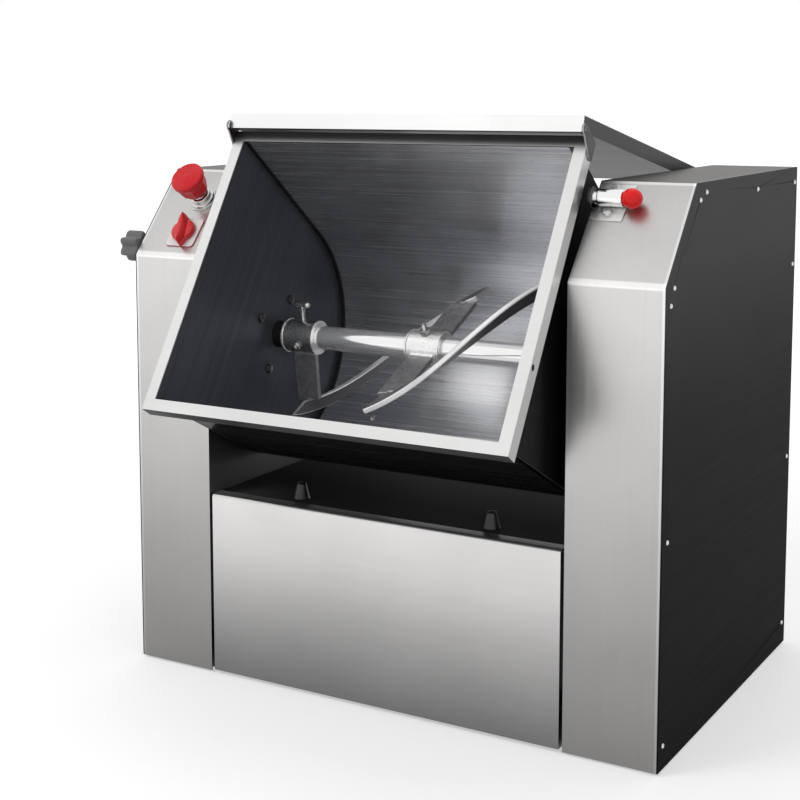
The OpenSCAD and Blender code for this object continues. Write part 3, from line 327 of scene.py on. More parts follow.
def cast(name, tint, metallic, rough, grain, contrast, bump):
    """Cast or blasted metal with a mottled skin."""
    g = Graph(name, metallic=metallic)
    here = g.place()
    spots = g.noise(here, 4.0, grain, 0.7)
    patches = g.noise(here, 2.0, grain * CAST_BROAD_SHARE)
    mottled = g.both(spots, patches, CAST_FINE_SHARE)
    g.colour(g.mix(tint, g.range(mottled, *CAST_SPREAD, 1 - contrast, 1 + contrast)))
    g.roughness(g.range(mottled, *ROUGH_SPREAD, rough[1], rough[0]))
    g.bump(spots, bump, 0.0004)
    return g.mat


def moulded(name, tint, rough, grain, contrast, bump, coat=0.0, spec=0.5):
    """Plastic, rubber or paint with a fine moulded skin and slightly worn patches."""
    g = Graph(name, coat=coat, coat_rough=0.12, spec=spec)
    here = g.place()
    patches = g.noise(here, 3.0, WEAR_SCALE)
    g.colour(g.mix(tint, g.range(patches, *PATCH_SPREAD, 1 - contrast, 1 + contrast)))
    g.roughness(g.range(patches, *ROUGH_SPREAD, *rough))
    g.bump(g.noise(here, 3.0, grain, 0.6), bump)
    return g.mat


# Painted shade from the floor up, as (height in metres, share)
PAINTED_COLUMN_SHADE = [(0.0, 0.36), (0.12, 0.46), (0.24, 0.62), (0.36, 0.79), (0.478, 0.93), (0.54, 0.88), (0.60, 0.70)]
PAINTED_PANEL_SHADE = [(0.0, 0.27), (0.05, 0.41), (0.10, 0.58), (0.16, 0.86), (0.205, 0.97), (0.60, 0.97)]
PAINTED_SIDE_PANEL_SHADE = [(0.0, 0.04), (0.10, 0.09), (0.20, 0.14), (0.30, 0.21), (0.35, 0.29), (0.40, 0.43), (0.45, 0.62),
        (0.50, 0.86), (0.60, 1.0)]
PAINTED_TUB_SHADE = [(0.0, 1.1), (0.30, 1.1), (0.42, 0.95), (0.56, 0.76)]

MATERIALS = {
    # Covers and panels of the body
    # Painted shade, darker towards the floor and the top, painted shade on the top faces, and painted
    # highlights along the folds and the outer edge
    "column": brushed("column_steel", (0.69, 0.68, 0.67), (900, 900, 10), 0.035, (0.30, 0.38), height=PAINTED_COLUMN_SHADE,
                      painted_fold_highlights=[(0.4825, 0.0042, 1.45), (0.5757, 0.0020, 1.45)], painted_top_shade=0.45,
                      fold=(0.3176, 0.0022, 1.28), glance=1.0, bump=0.03),
    # Painted shade, darker towards the bottom
    "panel": brushed("panel_steel", (0.68, 0.67, 0.665), (10, 900, 900), 0.03, (0.28, 0.36), height=PAINTED_PANEL_SHADE,
                     bump=0.03),
    # Painted shade from the floor up, as on the columns
    "rear": brushed("rear_steel", (0.50, 0.50, 0.50), (8, 900, 900), 0.05, (0.32, 0.42), height=PAINTED_COLUMN_SHADE,
                    bump=0.04),
    # A dark sheet with painted shade from the floor up, for side panels that stand in shade
    "side": brushed("side_steel_painted_shade", (0.086, 0.086, 0.087), (900, 8, 900), 0.04, (0.50, 0.60), height=PAINTED_SIDE_PANEL_SHADE,
                    bump=0.02, metallic=0.0, spec=0.016),
    # A dark sheet, painted shade for the shelf under the tub
    "shelf": brushed("shelf_steel_painted_shade", (0.040, 0.040, 0.041), (6, 900, 900), 0.15, (0.6, 0.7), metallic=0.0,
                     spec=0.02),
    "bracket": brushed("bracket_steel", (0.80, 0.795, 0.79), (900, 10, 900), 0.05, (0.30, 0.38), bump=0.02),
    # A dark sheet, painted shade for the lug under the pin's barrel
    "lug": brushed("lug_steel_painted_shade", (0.05, 0.05, 0.05), (300, 300, 300), 0.15, (0.35, 0.5), bump=0.1),
    # Tub and lid
    # Painted shade on its side faces and its underside, and a painted shadow under the lid along the top of
    # its mouth
    "rim": brushed("rim_steel", (0.78, 0.775, 0.77), (14, 700, 700), 0.025, (0.30, 0.38), painted_side_shade=0.85,
                   painted_under_shade=0.05, glance=0.3, hinge=(0.150, 0.164, 0.30), bump=0.03),
    # Painted shade on its side faces and its underside
    "lid": brushed("lid_steel", (0.96, 0.955, 0.95), (10, 800, 800), 0.03, (0.28, 0.36), painted_side_shade=0.08,
                   painted_under_shade=0.06, glance=0.4, bump=0.03),
    # Painted shade on their side faces
    "ears": brushed("ear_steel", (0.40, 0.398, 0.395), (500, 500, 20), 0.04, (0.3, 0.4), painted_side_shade=0.4,
                    glance=0.7),
    # Painted shade: darker towards the top, on its outer faces in front, and in a dark stripe where the wall
    # meets the end plates
    "tub": brushed("tub_steel", (0.82, 0.825, 0.85), (9.0, 1300, 1300), 0.34, (0.16, 0.30), tilt=TILT,
                   painted_outer_shade=0.07, height=PAINTED_TUB_SHADE, glance=0.4, fold=(0.1995, 0.005, 0.12), cloud=0.10, bump=0.2,
                   metallic=0.85),
    # Dark end plates, painted shade inside the tub, with more painted shade on their outer faces
    "end": brushed("end_steel_painted_shade", (0.095, 0.10, 0.112), (1300, 9, 1300), 0.26, (0.32, 0.48), tilt=TILT,
                   cloud=0.10, ends=0.10, glance=1.0, bump=0.22, metallic=0.55),
    # Turned, polished and ground steel
    "polished": brushed("polished_steel", (0.90, 0.90, 0.90), (500, 500, 500), 0.02, (0.10, 0.17), cloud=0.02,
                        bump=0.02),
    "shaft": brushed("shaft_steel", (0.97, 0.97, 0.97), (40, 900, 900), 0.02, (0.06, 0.11), cloud=0.02,
                     bump=0.01, metallic=0.75),
    "chrome": brushed("chrome", (0.62, 0.62, 0.62), (300, 300, 300), 0.01, (0.05, 0.10), cloud=0.02,
                      bump=0.01),
    # The ribbons' broad faces are dark, painted shade, and their narrow faces light, painted highlight
    "blade_painted_shade": brushed("blade_steel_painted_shade", (0.16, 0.16, 0.165), (300, 300, 300), 0.18, (0.28, 0.45), cloud=0.2,
                     bump=0.15, metallic=0.35),
    "edge_steel_painted_highlight": brushed("edge_steel_painted_highlight", (0.95, 0.95, 0.95), (300, 300, 300), 0.05, (0.16, 0.26), bump=0.03,
                          metallic=0.35),
    "machined": brushed("machined_steel", (0.45, 0.45, 0.46), (600, 600, 600), 0.08, (0.25, 0.4)),
    # Cast, blasted and plated metal
    "fastener": cast("zinc_fasteners", (0.62, 0.62, 0.60), 1.0, (0.18, 0.34), 500.0, 0.12, 0.1),
    # A darker copy of the zinc fasteners for the bolt heads inside the tub, painted shade
    "fastener_in_painted_shade": cast("fasteners_painted_shade", (0.12, 0.12, 0.125), 1.0, (0.25, 0.45), 500.0, 0.25, 0.15),
    "hub": cast("hub_casting", (0.66, 0.66, 0.665), 1.0, (0.18, 0.34), 420.0, 0.50, 0.5),
    "bright_hub": cast("bright_hub", (0.95, 0.95, 0.94), 0.75, (0.16, 0.28), 420.0, 0.10, 0.3),
    "arm": cast("arm_steel", (0.36, 0.36, 0.365), 0.8, (0.28, 0.5), 420.0, 0.35, 0.3),
    "iron": cast("cast_iron", (0.16, 0.16, 0.165), 0.7, (0.4, 0.65), 300.0, 0.25, 0.6),
    # Paint, rubber and plastic
    "frame": moulded("frame_paint", (0.045, 0.048, 0.052), (0.35, 0.5), 500.0, 0.12, 0.2, coat=0.2),
    "motor": moulded("motor_paint", (0.030, 0.075, 0.140), (0.35, 0.5), 500.0, 0.10, 0.25, coat=0.3),
    "rubber": moulded("black_rubber", (0.008, 0.008, 0.008), (0.55, 0.75), 700.0, 0.25, 0.25, spec=0.25),
    "bumper": moulded("bumper_rubber", (0.014, 0.014, 0.014), (0.28, 0.40), 700.0, 0.2, 0.1, coat=0.25),
    "black": moulded("black_plastic", (0.016, 0.016, 0.017), (0.35, 0.5), 900.0, 0.15, 0.1),
    "grey": moulded("grey_plastic", (0.135, 0.135, 0.135), (0.5, 0.65), 900.0, 0.12, 0.2),
    "pale": moulded("pale_plastic", (0.76, 0.735, 0.73), (0.3, 0.42), 900.0, 0.02, 0.05),
    "red": moulded("red_plastic", (0.62, 0.018, 0.022), (0.28, 0.42), 900.0, 0.06, 0.06, coat=0.15),
    "cap_red": moulded("red_cap", (0.58, 0.014, 0.020), (0.38, 0.52), 900.0, 0.05, 0.06, spec=0.35),
    "ball_red": moulded("red_ball", (0.78, 0.006, 0.008), (0.20, 0.28), 900.0, 0.04, 0.02, spec=0.3),
    "edge_red": moulded("red_edge", (0.40, 0.012, 0.022), (0.3, 0.4), 900.0, 0.05, 0.05),
}


# Outlines and meshes, in millimetres
def soft(points, radius, steps=3):
    """A closed outline with each corner rounded, as far as its edges allow."""
    n = len(points)
    most = 0.45
    out = []
    for i, p in enumerate(points):
        p = Vector(p)
        a, b = Vector(points[i - 1]) - p, Vector(points[(i + 1) % n]) - p
        cut = min(radius, a.length * most, b.length * most)
        a, b = p + a.normalized() * cut, p + b.normalized() * cut
        for k in range(steps + 1):
            t = k / steps
            out.append(tuple(a * (1 - t) ** 2 + p * 2 * t * (1 - t) + b * t ** 2))
    return out


def rect(w, h, r, steps):
    """A rectangle with rounded corners, about the origin."""
    x, y = w / 2, h / 2
    return soft([(-x, -y), (x, -y), (x, y), (-x, y)], r, steps)


def inset(points, d):
    """A closed counter-clockwise outline, moved inwards by d."""
    n = len(points)
    sharpest = 0.8
    out = []
    for i in range(n):
        p = Vector(points[i])
        u = (p - Vector(points[i - 1])).normalized()
        w = (Vector(points[(i + 1) % n]) - p).normalized()
        m = Vector((-u.y, u.x)) + Vector((-w.y, w.x))
        out.append(tuple(p + m * (2 * d / max(m.length_squared, sharpest))))
    return out


def skin(bm, rings, mat=0, loop=False, mats=None):
    """Faces between rings of equal length; a ring of one point closes to that point."""
    vs = [[bm.verts.new(p) for p in ring] for ring in rings]
    pairs = list(zip(vs, vs[1:])) + ([(vs[-1], vs[0])] if loop else [])
    for a, b in pairs:
        n = max(len(a), len(b))
        for k in range(n):
            j = (k + 1) % n
            quad = [a[k % len(a)], a[j % len(a)], b[j % len(b)], b[k % len(b)]]
            quad = [v for i, v in enumerate(quad) if v not in quad[:i]]
            if len(quad) > 2:
                face = bm.faces.new(quad)
                face.material_index = mats[k] if mats else mat
    if not loop:
        for ring in (vs[0][::-1], vs[-1]):
            if len(ring) > 2:
                bm.faces.new(ring).material_index = mats[0] if mats else mat


# Marks a profile point where the section is a hexagon
HEX = "hexagon"


def hexagon_r(angle, half_width):
    """Radius of a hexagon at an angle."""
    t = (math.degrees(angle) + 360) % 60 - 30
    return half_width / math.cos(math.radians(t))


def turned(bm, profile, place, segs=48, mat=0, loop=False):
    """A turned solid about the Z of place.

    profile holds (r, z), or (r, z, HEX) for a hexagon of half width r. An r of 0 closes it.
    """
    rings = []
    for r, z, *form in profile:
        if r == 0:
            rings.append([place @ Vector((0, 0, z))])
            continue
        ring = []
        for k in range(segs):
            a = 2 * math.pi * k / segs
            q = hexagon_r(a, r) if form else r
            ring.append(place @ Vector((q * math.cos(a), q * math.sin(a), z)))
        rings.append(ring)
    skin(bm, rings, mat, loop=loop)


def prism(bm, outline, z0, z1, place, edge, mat):
    """An outline (counter-clockwise) pulled from z0 to z1, with chamfered rims."""
    levels = [(z0, edge), (z0 + edge, 0), (z1 - edge, 0), (z1, edge)] if edge else [(z0, 0), (z1, 0)]
    rings = [[place @ Vector((*p, z)) for p in (inset(outline, d) if d else outline)] for z, d in levels]
    skin(bm, rings, mat)


def holed_plate(bm, outline, hole, z0, z1, place, edge, mat):
    """A flat plate with a round hole, its upper rim chamfered."""
    ring = [tuple(Vector(p).normalized() * hole) for p in outline]
    small = inset(outline, edge)
    levels = [(ring, z0), (outline, z0), (outline, z1 - edge), (small, z1), (ring, z1)]
    skin(bm, [[place @ Vector((*p, z)) for p in points] for points, z in levels], mat, loop=True)


def thread(r, z0, z1):
    """Profile points of a threaded stretch, as fine ridges."""
    pitch, depth = 1.0, 0.45
    out = []
    z = z0
    while z + pitch <= z1:
        out += [(r - depth, z), (r, z + pitch / 2)]
        z += pitch
    return out + [(r - depth, z)]


def hex_head(bm, place, across_flats, h, mat=0):
    """The head of a hexagon bolt."""
    r = across_flats / 2
    turned(bm, [(0, 0), (r * 0.96, 0), (r, 0.3, HEX), (r, h - 0.7, HEX), (r * 0.97, h - 0.15), (r * 0.92, h),
                (0, h)], place, mat=mat)


def piece(node, bm, mats, body, sharp=32.0):
    """Makes the object that stands for a node from a mesh in millimetres, attaches it to its body and hides
    the node.
    """
    bmesh.ops.recalc_face_normals(bm, faces=bm.faces[:])
    bmesh.ops.scale(bm, vec=(MM, MM, MM), verts=bm.verts[:])
    limit = math.radians(sharp)
    for face in bm.faces:
        face.smooth = True
    for e in bm.edges:
        if len(e.link_faces) == 2 and e.calc_face_angle(0) > limit:
            e.smooth = False
    name = node + "_dressed"
    me = bpy.data.meshes.new(name)
    bm.to_mesh(me)
    bm.free()
    for m in mats:
        me.materials.append(MATERIALS[m])
    ob = bpy.data.objects.new(name, me)
    bpy.context.scene.collection.objects.link(ob)
    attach(ob, body)
    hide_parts(node)


# Places, in millimetres and degrees
def at(x, y=0.0, z=0.0):
    return Matrix.Translation((x, y, z))


def turn(axis, degrees):
    return Matrix.Rotation(math.radians(degrees), 4, axis)


def on_slant(x, s, h=0.0):
    """A place on the slanted face: s along it from its lower fold, h above it."""
    y, z = FRONT_Y + s * math.cos(SLANT), BEND_Z + s * math.sin(SLANT)
    return at(x, y, z) @ Matrix.Rotation(SLANT, 4, "X") @ at(0, 0, h)


ALONG_X = turn("Y", 90)
RADIAL = turn("X", -90)
ON_AXIS = at(0, AXIS_Y, AXIS_Z)
IN_TUB = ON_AXIS @ Matrix.Rotation(TILT, 4, "X")
PIN_AXIS = at(0, *on_slant(0, PIN_S, PIN_H).translation[1:]) @ ALONG_X


# Controls
def estop():
    """The stop button: a cap with a six-sided skirt and grooves in its crown, and its collar."""
    here = on_slant(ESTOP_X, ESTOP_S)
    bore, bore_top, crown, groove = 9.1, 38, 0.8, 0.4
    inside = [(0, bore_top), (bore, bore_top), (bore, CAP_LOW), (12.9, CAP_LOW), (13.4, CAP_LOW + 0.4)]
    skirt = [(13.9, 20, HEX), (14.6, 24.4, HEX), (15.4, 30, HEX), (16.2, 35.0, HEX), (17.0, 36.6, HEX)]
    brim = [(18.6, 37.5), (19.6, 38.2), (CAP_R, 39.2), (CAP_R, 42.2), (19.8, 42.9), (19.4, 43.5),
            (18.9, 43.9)]
    grooves = []
    for r in (17.3, 14.2, 11.2, 8.2, 5.2):
        z = CAP_TOP - crown * (r / CAP_R) ** 2
        grooves += [(r + 0.9, z), (r + 0.35, z - groove), (r - 0.35, z - groove), (r - 0.9, z + 0.02)]
    bm = bmesh.new()
    turned(bm, inside + skirt + brim + grooves + [(0, CAP_TOP)], here, 72)
    piece("estop_cap", bm, ["cap_red"], "estop_head", 40)

    bore, neck, low, top = 9.05, 11, -12, 12
    flange = [(neck, -0.2), (neck, 0), (14.9, 0, HEX), (15.4, 0.3, HEX), (15.4, 1.3, HEX)]
    ring = [(15.1, 1.6), (15.4, 1.9), (15.5, 2.3), (15.5, 4.4), (15.2, 5.3), (14.5, 6), (13.5, 6.3),
            (12.6, 6.4), (12.6, 11), (12, 11.6), (bore, top)]
    nut = [(neck, -4.55), (14.3, -4.55), (15, -4.2, HEX), (15, -1.9, HEX), (14.3, -1.55), (neck, -1.55)]
    bm = bmesh.new()
    turned(bm, [(bore, low), (10.6, low)] + thread(neck, low, -0.4) + flange + ring, here, 64, loop=True)
    turned(bm, nut, here, loop=True)
    piece("estop_collar", bm, ["chrome"], "base", 40)


def selector():
    """The selector: a pale plate with a thin red edge, and a round knob with a grip."""
    here = on_slant(SELECTOR_X, SELECTOR_S)
    hole, edge_z, face_z = 4.05, 1.25, 1.7
    bm = bmesh.new()
    holed_plate(bm, rect(PLATE_W, PLATE_W, 5, 7), hole, 0, edge_z, here, 0.1, 0)
    holed_plate(bm, rect(PLATE_W - 0.5, PLATE_W - 0.5, 4.8, 7), hole, edge_z, face_z, here, 0.25, 1)
    piece("selector_plate", bm, ["edge_red", "pale"], "base")

    here = here @ turn("Z", SELECTOR_TURN)
    spindle = [(0, -11.7), (3.6, -11.7), (4, -11.3), (4, 2)]
    base = [(14, 2), (14.5, 2.5), (14.5, 6), (14, 7.6), (12.6, 8.9), (9.5, 9.8), (0, 10.2)]
    bm = bmesh.new()
    turned(bm, spindle + base, here, 64)
    # The grip is a ridge that is pointed at both ends and narrows upwards
    half = [(0.0, 21.5), (2.6, 18.6), (5.2, 14.6), (6.9, 10.0), (7.4, 5.0), (7.4, 0.0)]
    side = half + [(x, -y) for x, y in half[-2::-1]]
    outline = side + [(-x, y) for x, y in side[-2:0:-1]]
    levels = [(2.0, 1.0, 1.0), (8.0, 1.0, 1.0), (9.5, 0.94, 0.985), (14.2, 0.52, 0.93), (15.5, 0.40, 0.90),
              (16.0, 0.24, 0.86)]
    skin(bm, [[here @ Vector((x * narrow, y * short, z)) for x, y in outline] for z, narrow, short in levels])
    piece("selector_knob", bm, ["red"], "selector", 24)


def lock():
    """The lock pin with its barrel, the ball at its end, and the bracket's bolts. Profiles run along X."""
    barrel_end, stud_end, stud = 255, 262, 3
    pin = [(0, 215.9), (2.2, 215.9), (3, 216.8), (3, 222.1), (3.6, 222.2), (4, 222.7), (4, 252.2)]
    barrel = [(7.3, 252.2), (7.3, 228.3), (7.6, 228.35), (8.2, 228.8), (8.6, 229.8), (8.7, 231), (8.7, 253.6),
              (8.3, 254.4), (7.4, barrel_end)]
    bm = bmesh.new()
    turned(bm, pin + barrel + [(stud, barrel_end), (stud, stud_end), (0, stud_end)], PIN_AXIS, 64)
    piece("lock_pin", bm, ["polished"], "lock", 40)

    clear, steps = 0.05, 28
    cut = math.asin((barrel_end + clear - BALL_X) / BALL_R)
    arc = [cut + (math.pi / 2 - cut) * i / steps for i in range(steps)]
    bore = [(0, stud_end + 0.3), (stud + clear, stud_end + 0.3), (stud + clear, barrel_end + clear)]
    ball = [(BALL_R * math.cos(a), BALL_X + BALL_R * math.sin(a)) for a in arc]
    bm = bmesh.new()
    turned(bm, bore + ball + [(0, BALL_X + BALL_R)], PIN_AXIS, 64)
    piece("ball_knob", bm, ["ball_red"], "lock", 50)

    plate_top = 2
    bm = bmesh.new()
    for s in BRACKET_BOLT_S:
        here = on_slant(BRACKET_BOLT_X, s, plate_top)
        hex_head(bm, here, 8, 3.5)
        turned(bm, [(0, -8), (2.1, -8), (2.5, -7.6), (2.5, 0), (0, 0)], here, 24)
    piece("pin_bracket_bolts", bm, ["fastener"], "base")


def bracket():
    """The bracket of the lock pin: its plate, the lug and the guide tube in it."""
    low, high = BRACKET_S
    plate_x, plate_top, lug_t, lug_half, bore = 220, 2, 3, 9.5, 4.05
    lug_end, tube_end = plate_x + lug_t, 246
    plate = soft([(0, low), (34, low), (39, high), (0, high)], 1.2)
    foot = [(plate_x, PIN_S - lug_half), (lug_end, PIN_S - lug_half), (lug_end, PIN_S + lug_half),
            (plate_x, PIN_S + lug_half)]
    lug = [(bore, plate_x), (10.6, plate_x), (11, plate_x + 0.4), (11, lug_end - 0.4), (10.6, lug_end),
           (bore, lug_end)]
    tube = [(bore, lug_end), (7, lug_end), (7, tube_end - 0.5), (6.5, tube_end), (bore, tube_end)]
    bm = bmesh.new()
    prism(bm, plate, 0, plate_top, on_slant(plate_x, 0), 0.35, 0)
    prism(bm, foot, plate_top, PIN_H, on_slant(0, 0), 0, 1)
    turned(bm, lug, PIN_AXIS, 64, 1, loop=True)
    turned(bm, tube, PIN_AXIS, 64, 2, loop=True)
    # The lug's material is painted shade
    piece("pin_bracket", bm, ["bracket", "lug", "polished"], "base", 30)


# Small parts of the body
def bumpers():
    """Two tapered rubber bumpers with a base flange and a dimple on top."""
    flange = [(0, 0), (9.4, 0), (9.8, 0.4), (9.8, 0.9), (9.5, 1.4)]
    top = [(5.7, 16.2), (5.4, 17.1), (4.8, 17.8), (4.0, 18), (2.6, 18), (2.2, 17.6), (2.0, 16), (0, 16)]
    bm = bmesh.new()
    for side in (-1, 1):
        turned(bm, flange + top, at(side * BUMPER_X, BUMPER_Y, SHELF_TOP))
    piece("shelf_bumpers", bm, ["bumper"], "base", 28)


def star_knob():
    """The star knob: lobes from a cosine, rounded rims, a recess in its face and a stud."""
    here = at(-SIDE_X, KNOB_Y, KNOB_Z) @ turn("Y", -90)
    steps, mean_r, lobe, stud = 72, 15.2, 2.8, 4
    angles = [2 * math.pi * k / steps for k in range(steps)]

    def ring(radii, z):
        return [here @ Vector((r * math.cos(a), r * math.sin(a), z)) for r, a in zip(radii, angles)]

    star = [mean_r + lobe * math.cos(KNOB_LOBES * a) for a in angles]
    levels = [(1.5, 0.90), (2.3, 0.97), (4.0, 1.0), (21.5, 1.0), (23.6, 0.975), (24.9, 0.91), (25.5, 0.80)]
    tail = [ring([stud] * steps, z) for z in (-6, levels[0][0])]
    body = [ring([r * share for r in star], z) for z, share in levels]
    recess = [ring([r] * steps, z) for r, z in ((9.5, 25.5), (9.0, 24.9), (4.6, 24.4), (4.2, 24.6))]
    bm = bmesh.new()
    skin(bm, tail + body + recess)
    piece("side_knob", bm, ["grey"], "star_knob", 28)


def panel_screws():
    """The domed screws of both side panels."""
    shank = [(0, -6), (1.45, -6), (1.75, -5.6), (1.75, 0)]
    dome = [(2.5, 0), (2.6, 0.2), (2.45, 0.65), (2.05, 1.1), (1.5, 1.45), (0.9, 1.58), (0, 1.6)]
    bm = bmesh.new()
    for side in (-1, 1):
        for i, (y, z) in enumerate(TOP_SCREWS + LOW_SCREWS):
            if side > 0 or i != KNOB_SCREW:
                here = at(side * SIDE_X, y, z) @ turn("Y", 90 * side) @ turn("Z", SCREW_STEP * i)
                turned(bm, shank + dome, here, 32)
    piece("side_panel_screws", bm, ["fastener"], "base", 30)


# Agitator
def ribbon_angle(run):
    """Angle of the left ribbon; run is 0 at its end arm and 1 at its middle arm."""
    return END_ARM_ANGLE + (MIDDLE_ARM_ANGLE - END_ARM_ANGLE) * run + 4 * RIBBON_LEAD * run * (1 - run)


def ribbon_r(run):
    """Outer radius of a ribbon."""
    return END_SWEEP_R + (MIDDLE_SWEEP_R - END_SWEEP_R) * run - 4 * RIBBON_BOW * run * (1 - run)


def ribbon_place(run, across, down, turned_by):
    """A point of a ribbon: across its thickness, and down from its outer edge towards the axis."""
    slope = (MIDDLE_ARM_ANGLE - END_ARM_ANGLE + 4 * RIBBON_LEAD * (1 - 2 * run)) * math.pi / 180
    pitch = math.atan2(ribbon_r(run) * slope, HUB_X)
    a = math.radians(ribbon_angle(run) + turned_by)
    r = ribbon_r(run) - down
    off = -across * math.cos(pitch)
    x = HUB_X * (run - 1) + across * math.sin(pitch)
    return ON_AXIS @ Vector((x, r * math.cos(a) - off * math.sin(a), r * math.sin(a) + off * math.cos(a)))


def hub(bm, x, barrel):
    """A turned hub with its two rims, about the agitator's axis."""
    here = ON_AXIS @ at(x) @ ALONG_X
    half = HUB_LENGTH / 2
    middle = [(SEAT_R, -half + 1), (HUB_R, -half + 1.6), (HUB_R, half - 1.6), (SEAT_R, half - 1)]
    turned(bm, middle, here, 64, barrel, loop=True)
    for s in (-1, 1):
        z = s * (half - 2.5)
        rim = [(SEAT_R, z), (HUB_R + 0.4, z), (HUB_R + 1, z + s * 0.5), (HUB_R + 1, z + s * 2.0),
               (HUB_R + 0.6, z + s * 2.5), (SEAT_R + 0.7, z + s * 2.5), (SEAT_R, z + s * 1.9)]
        turned(bm, rim, here, 64, 1, loop=True)


def arm(bm, x, angle, run, way):
    """A flat arm from the hub to the inner edge of its ribbon, with weld beads at both ends."""
    w, half_t, sunk = ARM_W / 2, ARM_T / 2, 2.5
    reach = [(u, ribbon_r(run + way * u / HUB_X) - RIBBON_H - 0.5) for u in (w, w / 3, -w / 3, -w)]
    here = ON_AXIS @ at(x) @ turn("X", angle)
    prism(bm, [(-w, HUB_R - sunk), (w, HUB_R - sunk)] + reach, -half_t, half_t, here, 0.7, 0)
    # The bead at the foot follows the hub's round and draws in towards the arm
    bead = rect(2 * w + 3, ARM_T + 4, 3.2, 4)
    outer, slim, short, flat = HUB_R + 0.4, 0.97, 0.93, 0.62
    foot = [math.sqrt(outer ** 2 - min(abs(q[1]), HUB_R) ** 2) for q in bead]
    rise = [math.sqrt(outer ** 2 - min(abs(q[1] * flat), HUB_R) ** 2) for q in bead]
    skin(bm, [[here @ Vector((q[0], r - 1.5, q[1])) for q, r in zip(bead, foot)],
              [here @ Vector((q[0] * slim, r, q[1] * slim)) for q, r in zip(bead, foot)],
              [here @ Vector((q[0] * short, r + 2.0, q[1] * flat)) for q, r in zip(bead, rise)]], 1)
    tip = ribbon_r(run) - RIBBON_H - 0.6
    for side in (-1, 1):
        turned(bm, [(0, -5), (1.6, -4.2), (2.1, -2), (2.1, 2), (1.6, 4.2), (0, 5)],
               here @ at(0, tip, side * half_t) @ ALONG_X, 16)


def hubs():
    """The three clamp hubs with their arms. The end hubs are mottled, and the middle one is bright."""
    bright, mottled = 1, 2
    for node, x, barrel, arms in (
            ("left_hub_arm", -HUB_X, mottled, [(END_ARM_ANGLE, 0, 1)]),
            ("right_hub_arm", HUB_X, mottled, [(END_ARM_ANGLE + 180, 0, -1)]),
            ("middle_hub_arms", 0.0, bright, [(MIDDLE_ARM_ANGLE, 1, 1), (MIDDLE_ARM_ANGLE + 180, 1, -1)])):
        bm = bmesh.new()
        hub(bm, x, barrel)
        for angle, run, way in arms:
            arm(bm, x, angle, run, way)
        piece(node, bm, ["arm", "bright_hub", "hub"], "agitator")


def ribbons():
    """Flat bars on edge, twisted round the axis, with slanted ends, a painted highlight on their narrow faces
    and painted shade on their broad faces.
    """
    steps, c, half = 72, 0.9, RIBBON_T / 2
    section = [(-half, RIBBON_H - c), (-half + c, RIBBON_H), (half - c, RIBBON_H), (half, RIBBON_H - c),
               (half, c), (half - c, 0), (-half + c, 0), (-half, c)]
    for node, turned_by, side in (("left_ribbon", 0, 1), ("right_ribbon", 180, -1)):
        bm = bmesh.new()
        rings = []
        for i in range(steps + 1):
            t = i / steps
            outer = ((HUB_X + RIBBON_END_OVER + RIBBON_MIDDLE_OVER) * t - RIBBON_END_OVER) / HUB_X
            cut = RIBBON_CUT * (1 - 2 * t) / HUB_X / RIBBON_H
            ring = [ribbon_place(outer + cut * down, across, down, turned_by) for across, down in section]
            rings.append([Vector((side * p.x, p.y, p.z)) for p in ring])
        skin(bm, rings, mats=[1, 1, 1, 0, 1, 1, 1, 0])
        piece(node, bm, ["blade_painted_shade", "edge_steel_painted_highlight"], "agitator")


def hub_bolts():
    """A T-bolt and a socket screw on each end hub, and two studs with nuts on the middle hub."""
    bolt_r, shank_r, seat = 3, 2.6, 19.3

    def place(x, angle):
        return ON_AXIS @ at(x) @ turn("X", angle) @ RADIAL

    def stud(thread_end):
        return [(0, SEAT_R), (shank_r, SEAT_R)] + thread(bolt_r, SEAT_R + 0.4, thread_end)

    wing = [(1.8, 10.2), (3.2, 8.6), (3.7, 6.0), (3.2, 3.2)]
    bar = [(0, -10.6)] + [(r, -z) for r, z in wing] + [(3.4, 0)] + wing[::-1] + [(0, 10.6)]
    socket_screw = [(0, SEAT_R), (bolt_r, SEAT_R), (bolt_r, seat), (4.6, seat), (5, 19.7), (5, 21.8),
                    (4.5, 22.3), (2.6, 22.3, HEX), (2.5, 20.0, HEX), (0, 19.8)]
    nut = [(3.2, seat), (5.1, seat), (5.5, 19.6, HEX), (5.5, 24.2, HEX), (5.1, 24.7), (3.2, 24.7)]
    bm = bmesh.new()
    for x, angle in ((-HUB_X, END_ARM_ANGLE + 180), (HUB_X, END_ARM_ANGLE)):
        here = place(x, angle)
        turned(bm, stud(30) + [(bolt_r, 30.2), (bolt_r, 37.5), (0, 37.5)], here, 24)
        turned(bm, bar, here @ at(0, 0, 38.2) @ ALONG_X, 24)
    for x in (-HUB_X, HUB_X):
        turned(bm, socket_screw, place(x, END_ARM_ANGLE - SCREW_TURN))
    for angle in (MIDDLE_ARM_ANGLE + 90, MIDDLE_ARM_ANGLE - 90):
        here = place(0, angle)
        turned(bm, stud(32) + [(2.5, 32.6), (1.9, 33), (0, 33)], here, 24)
        turned(bm, nut, here, loop=True)
    piece("hub_bolts", bm, ["fastener"], "agitator")


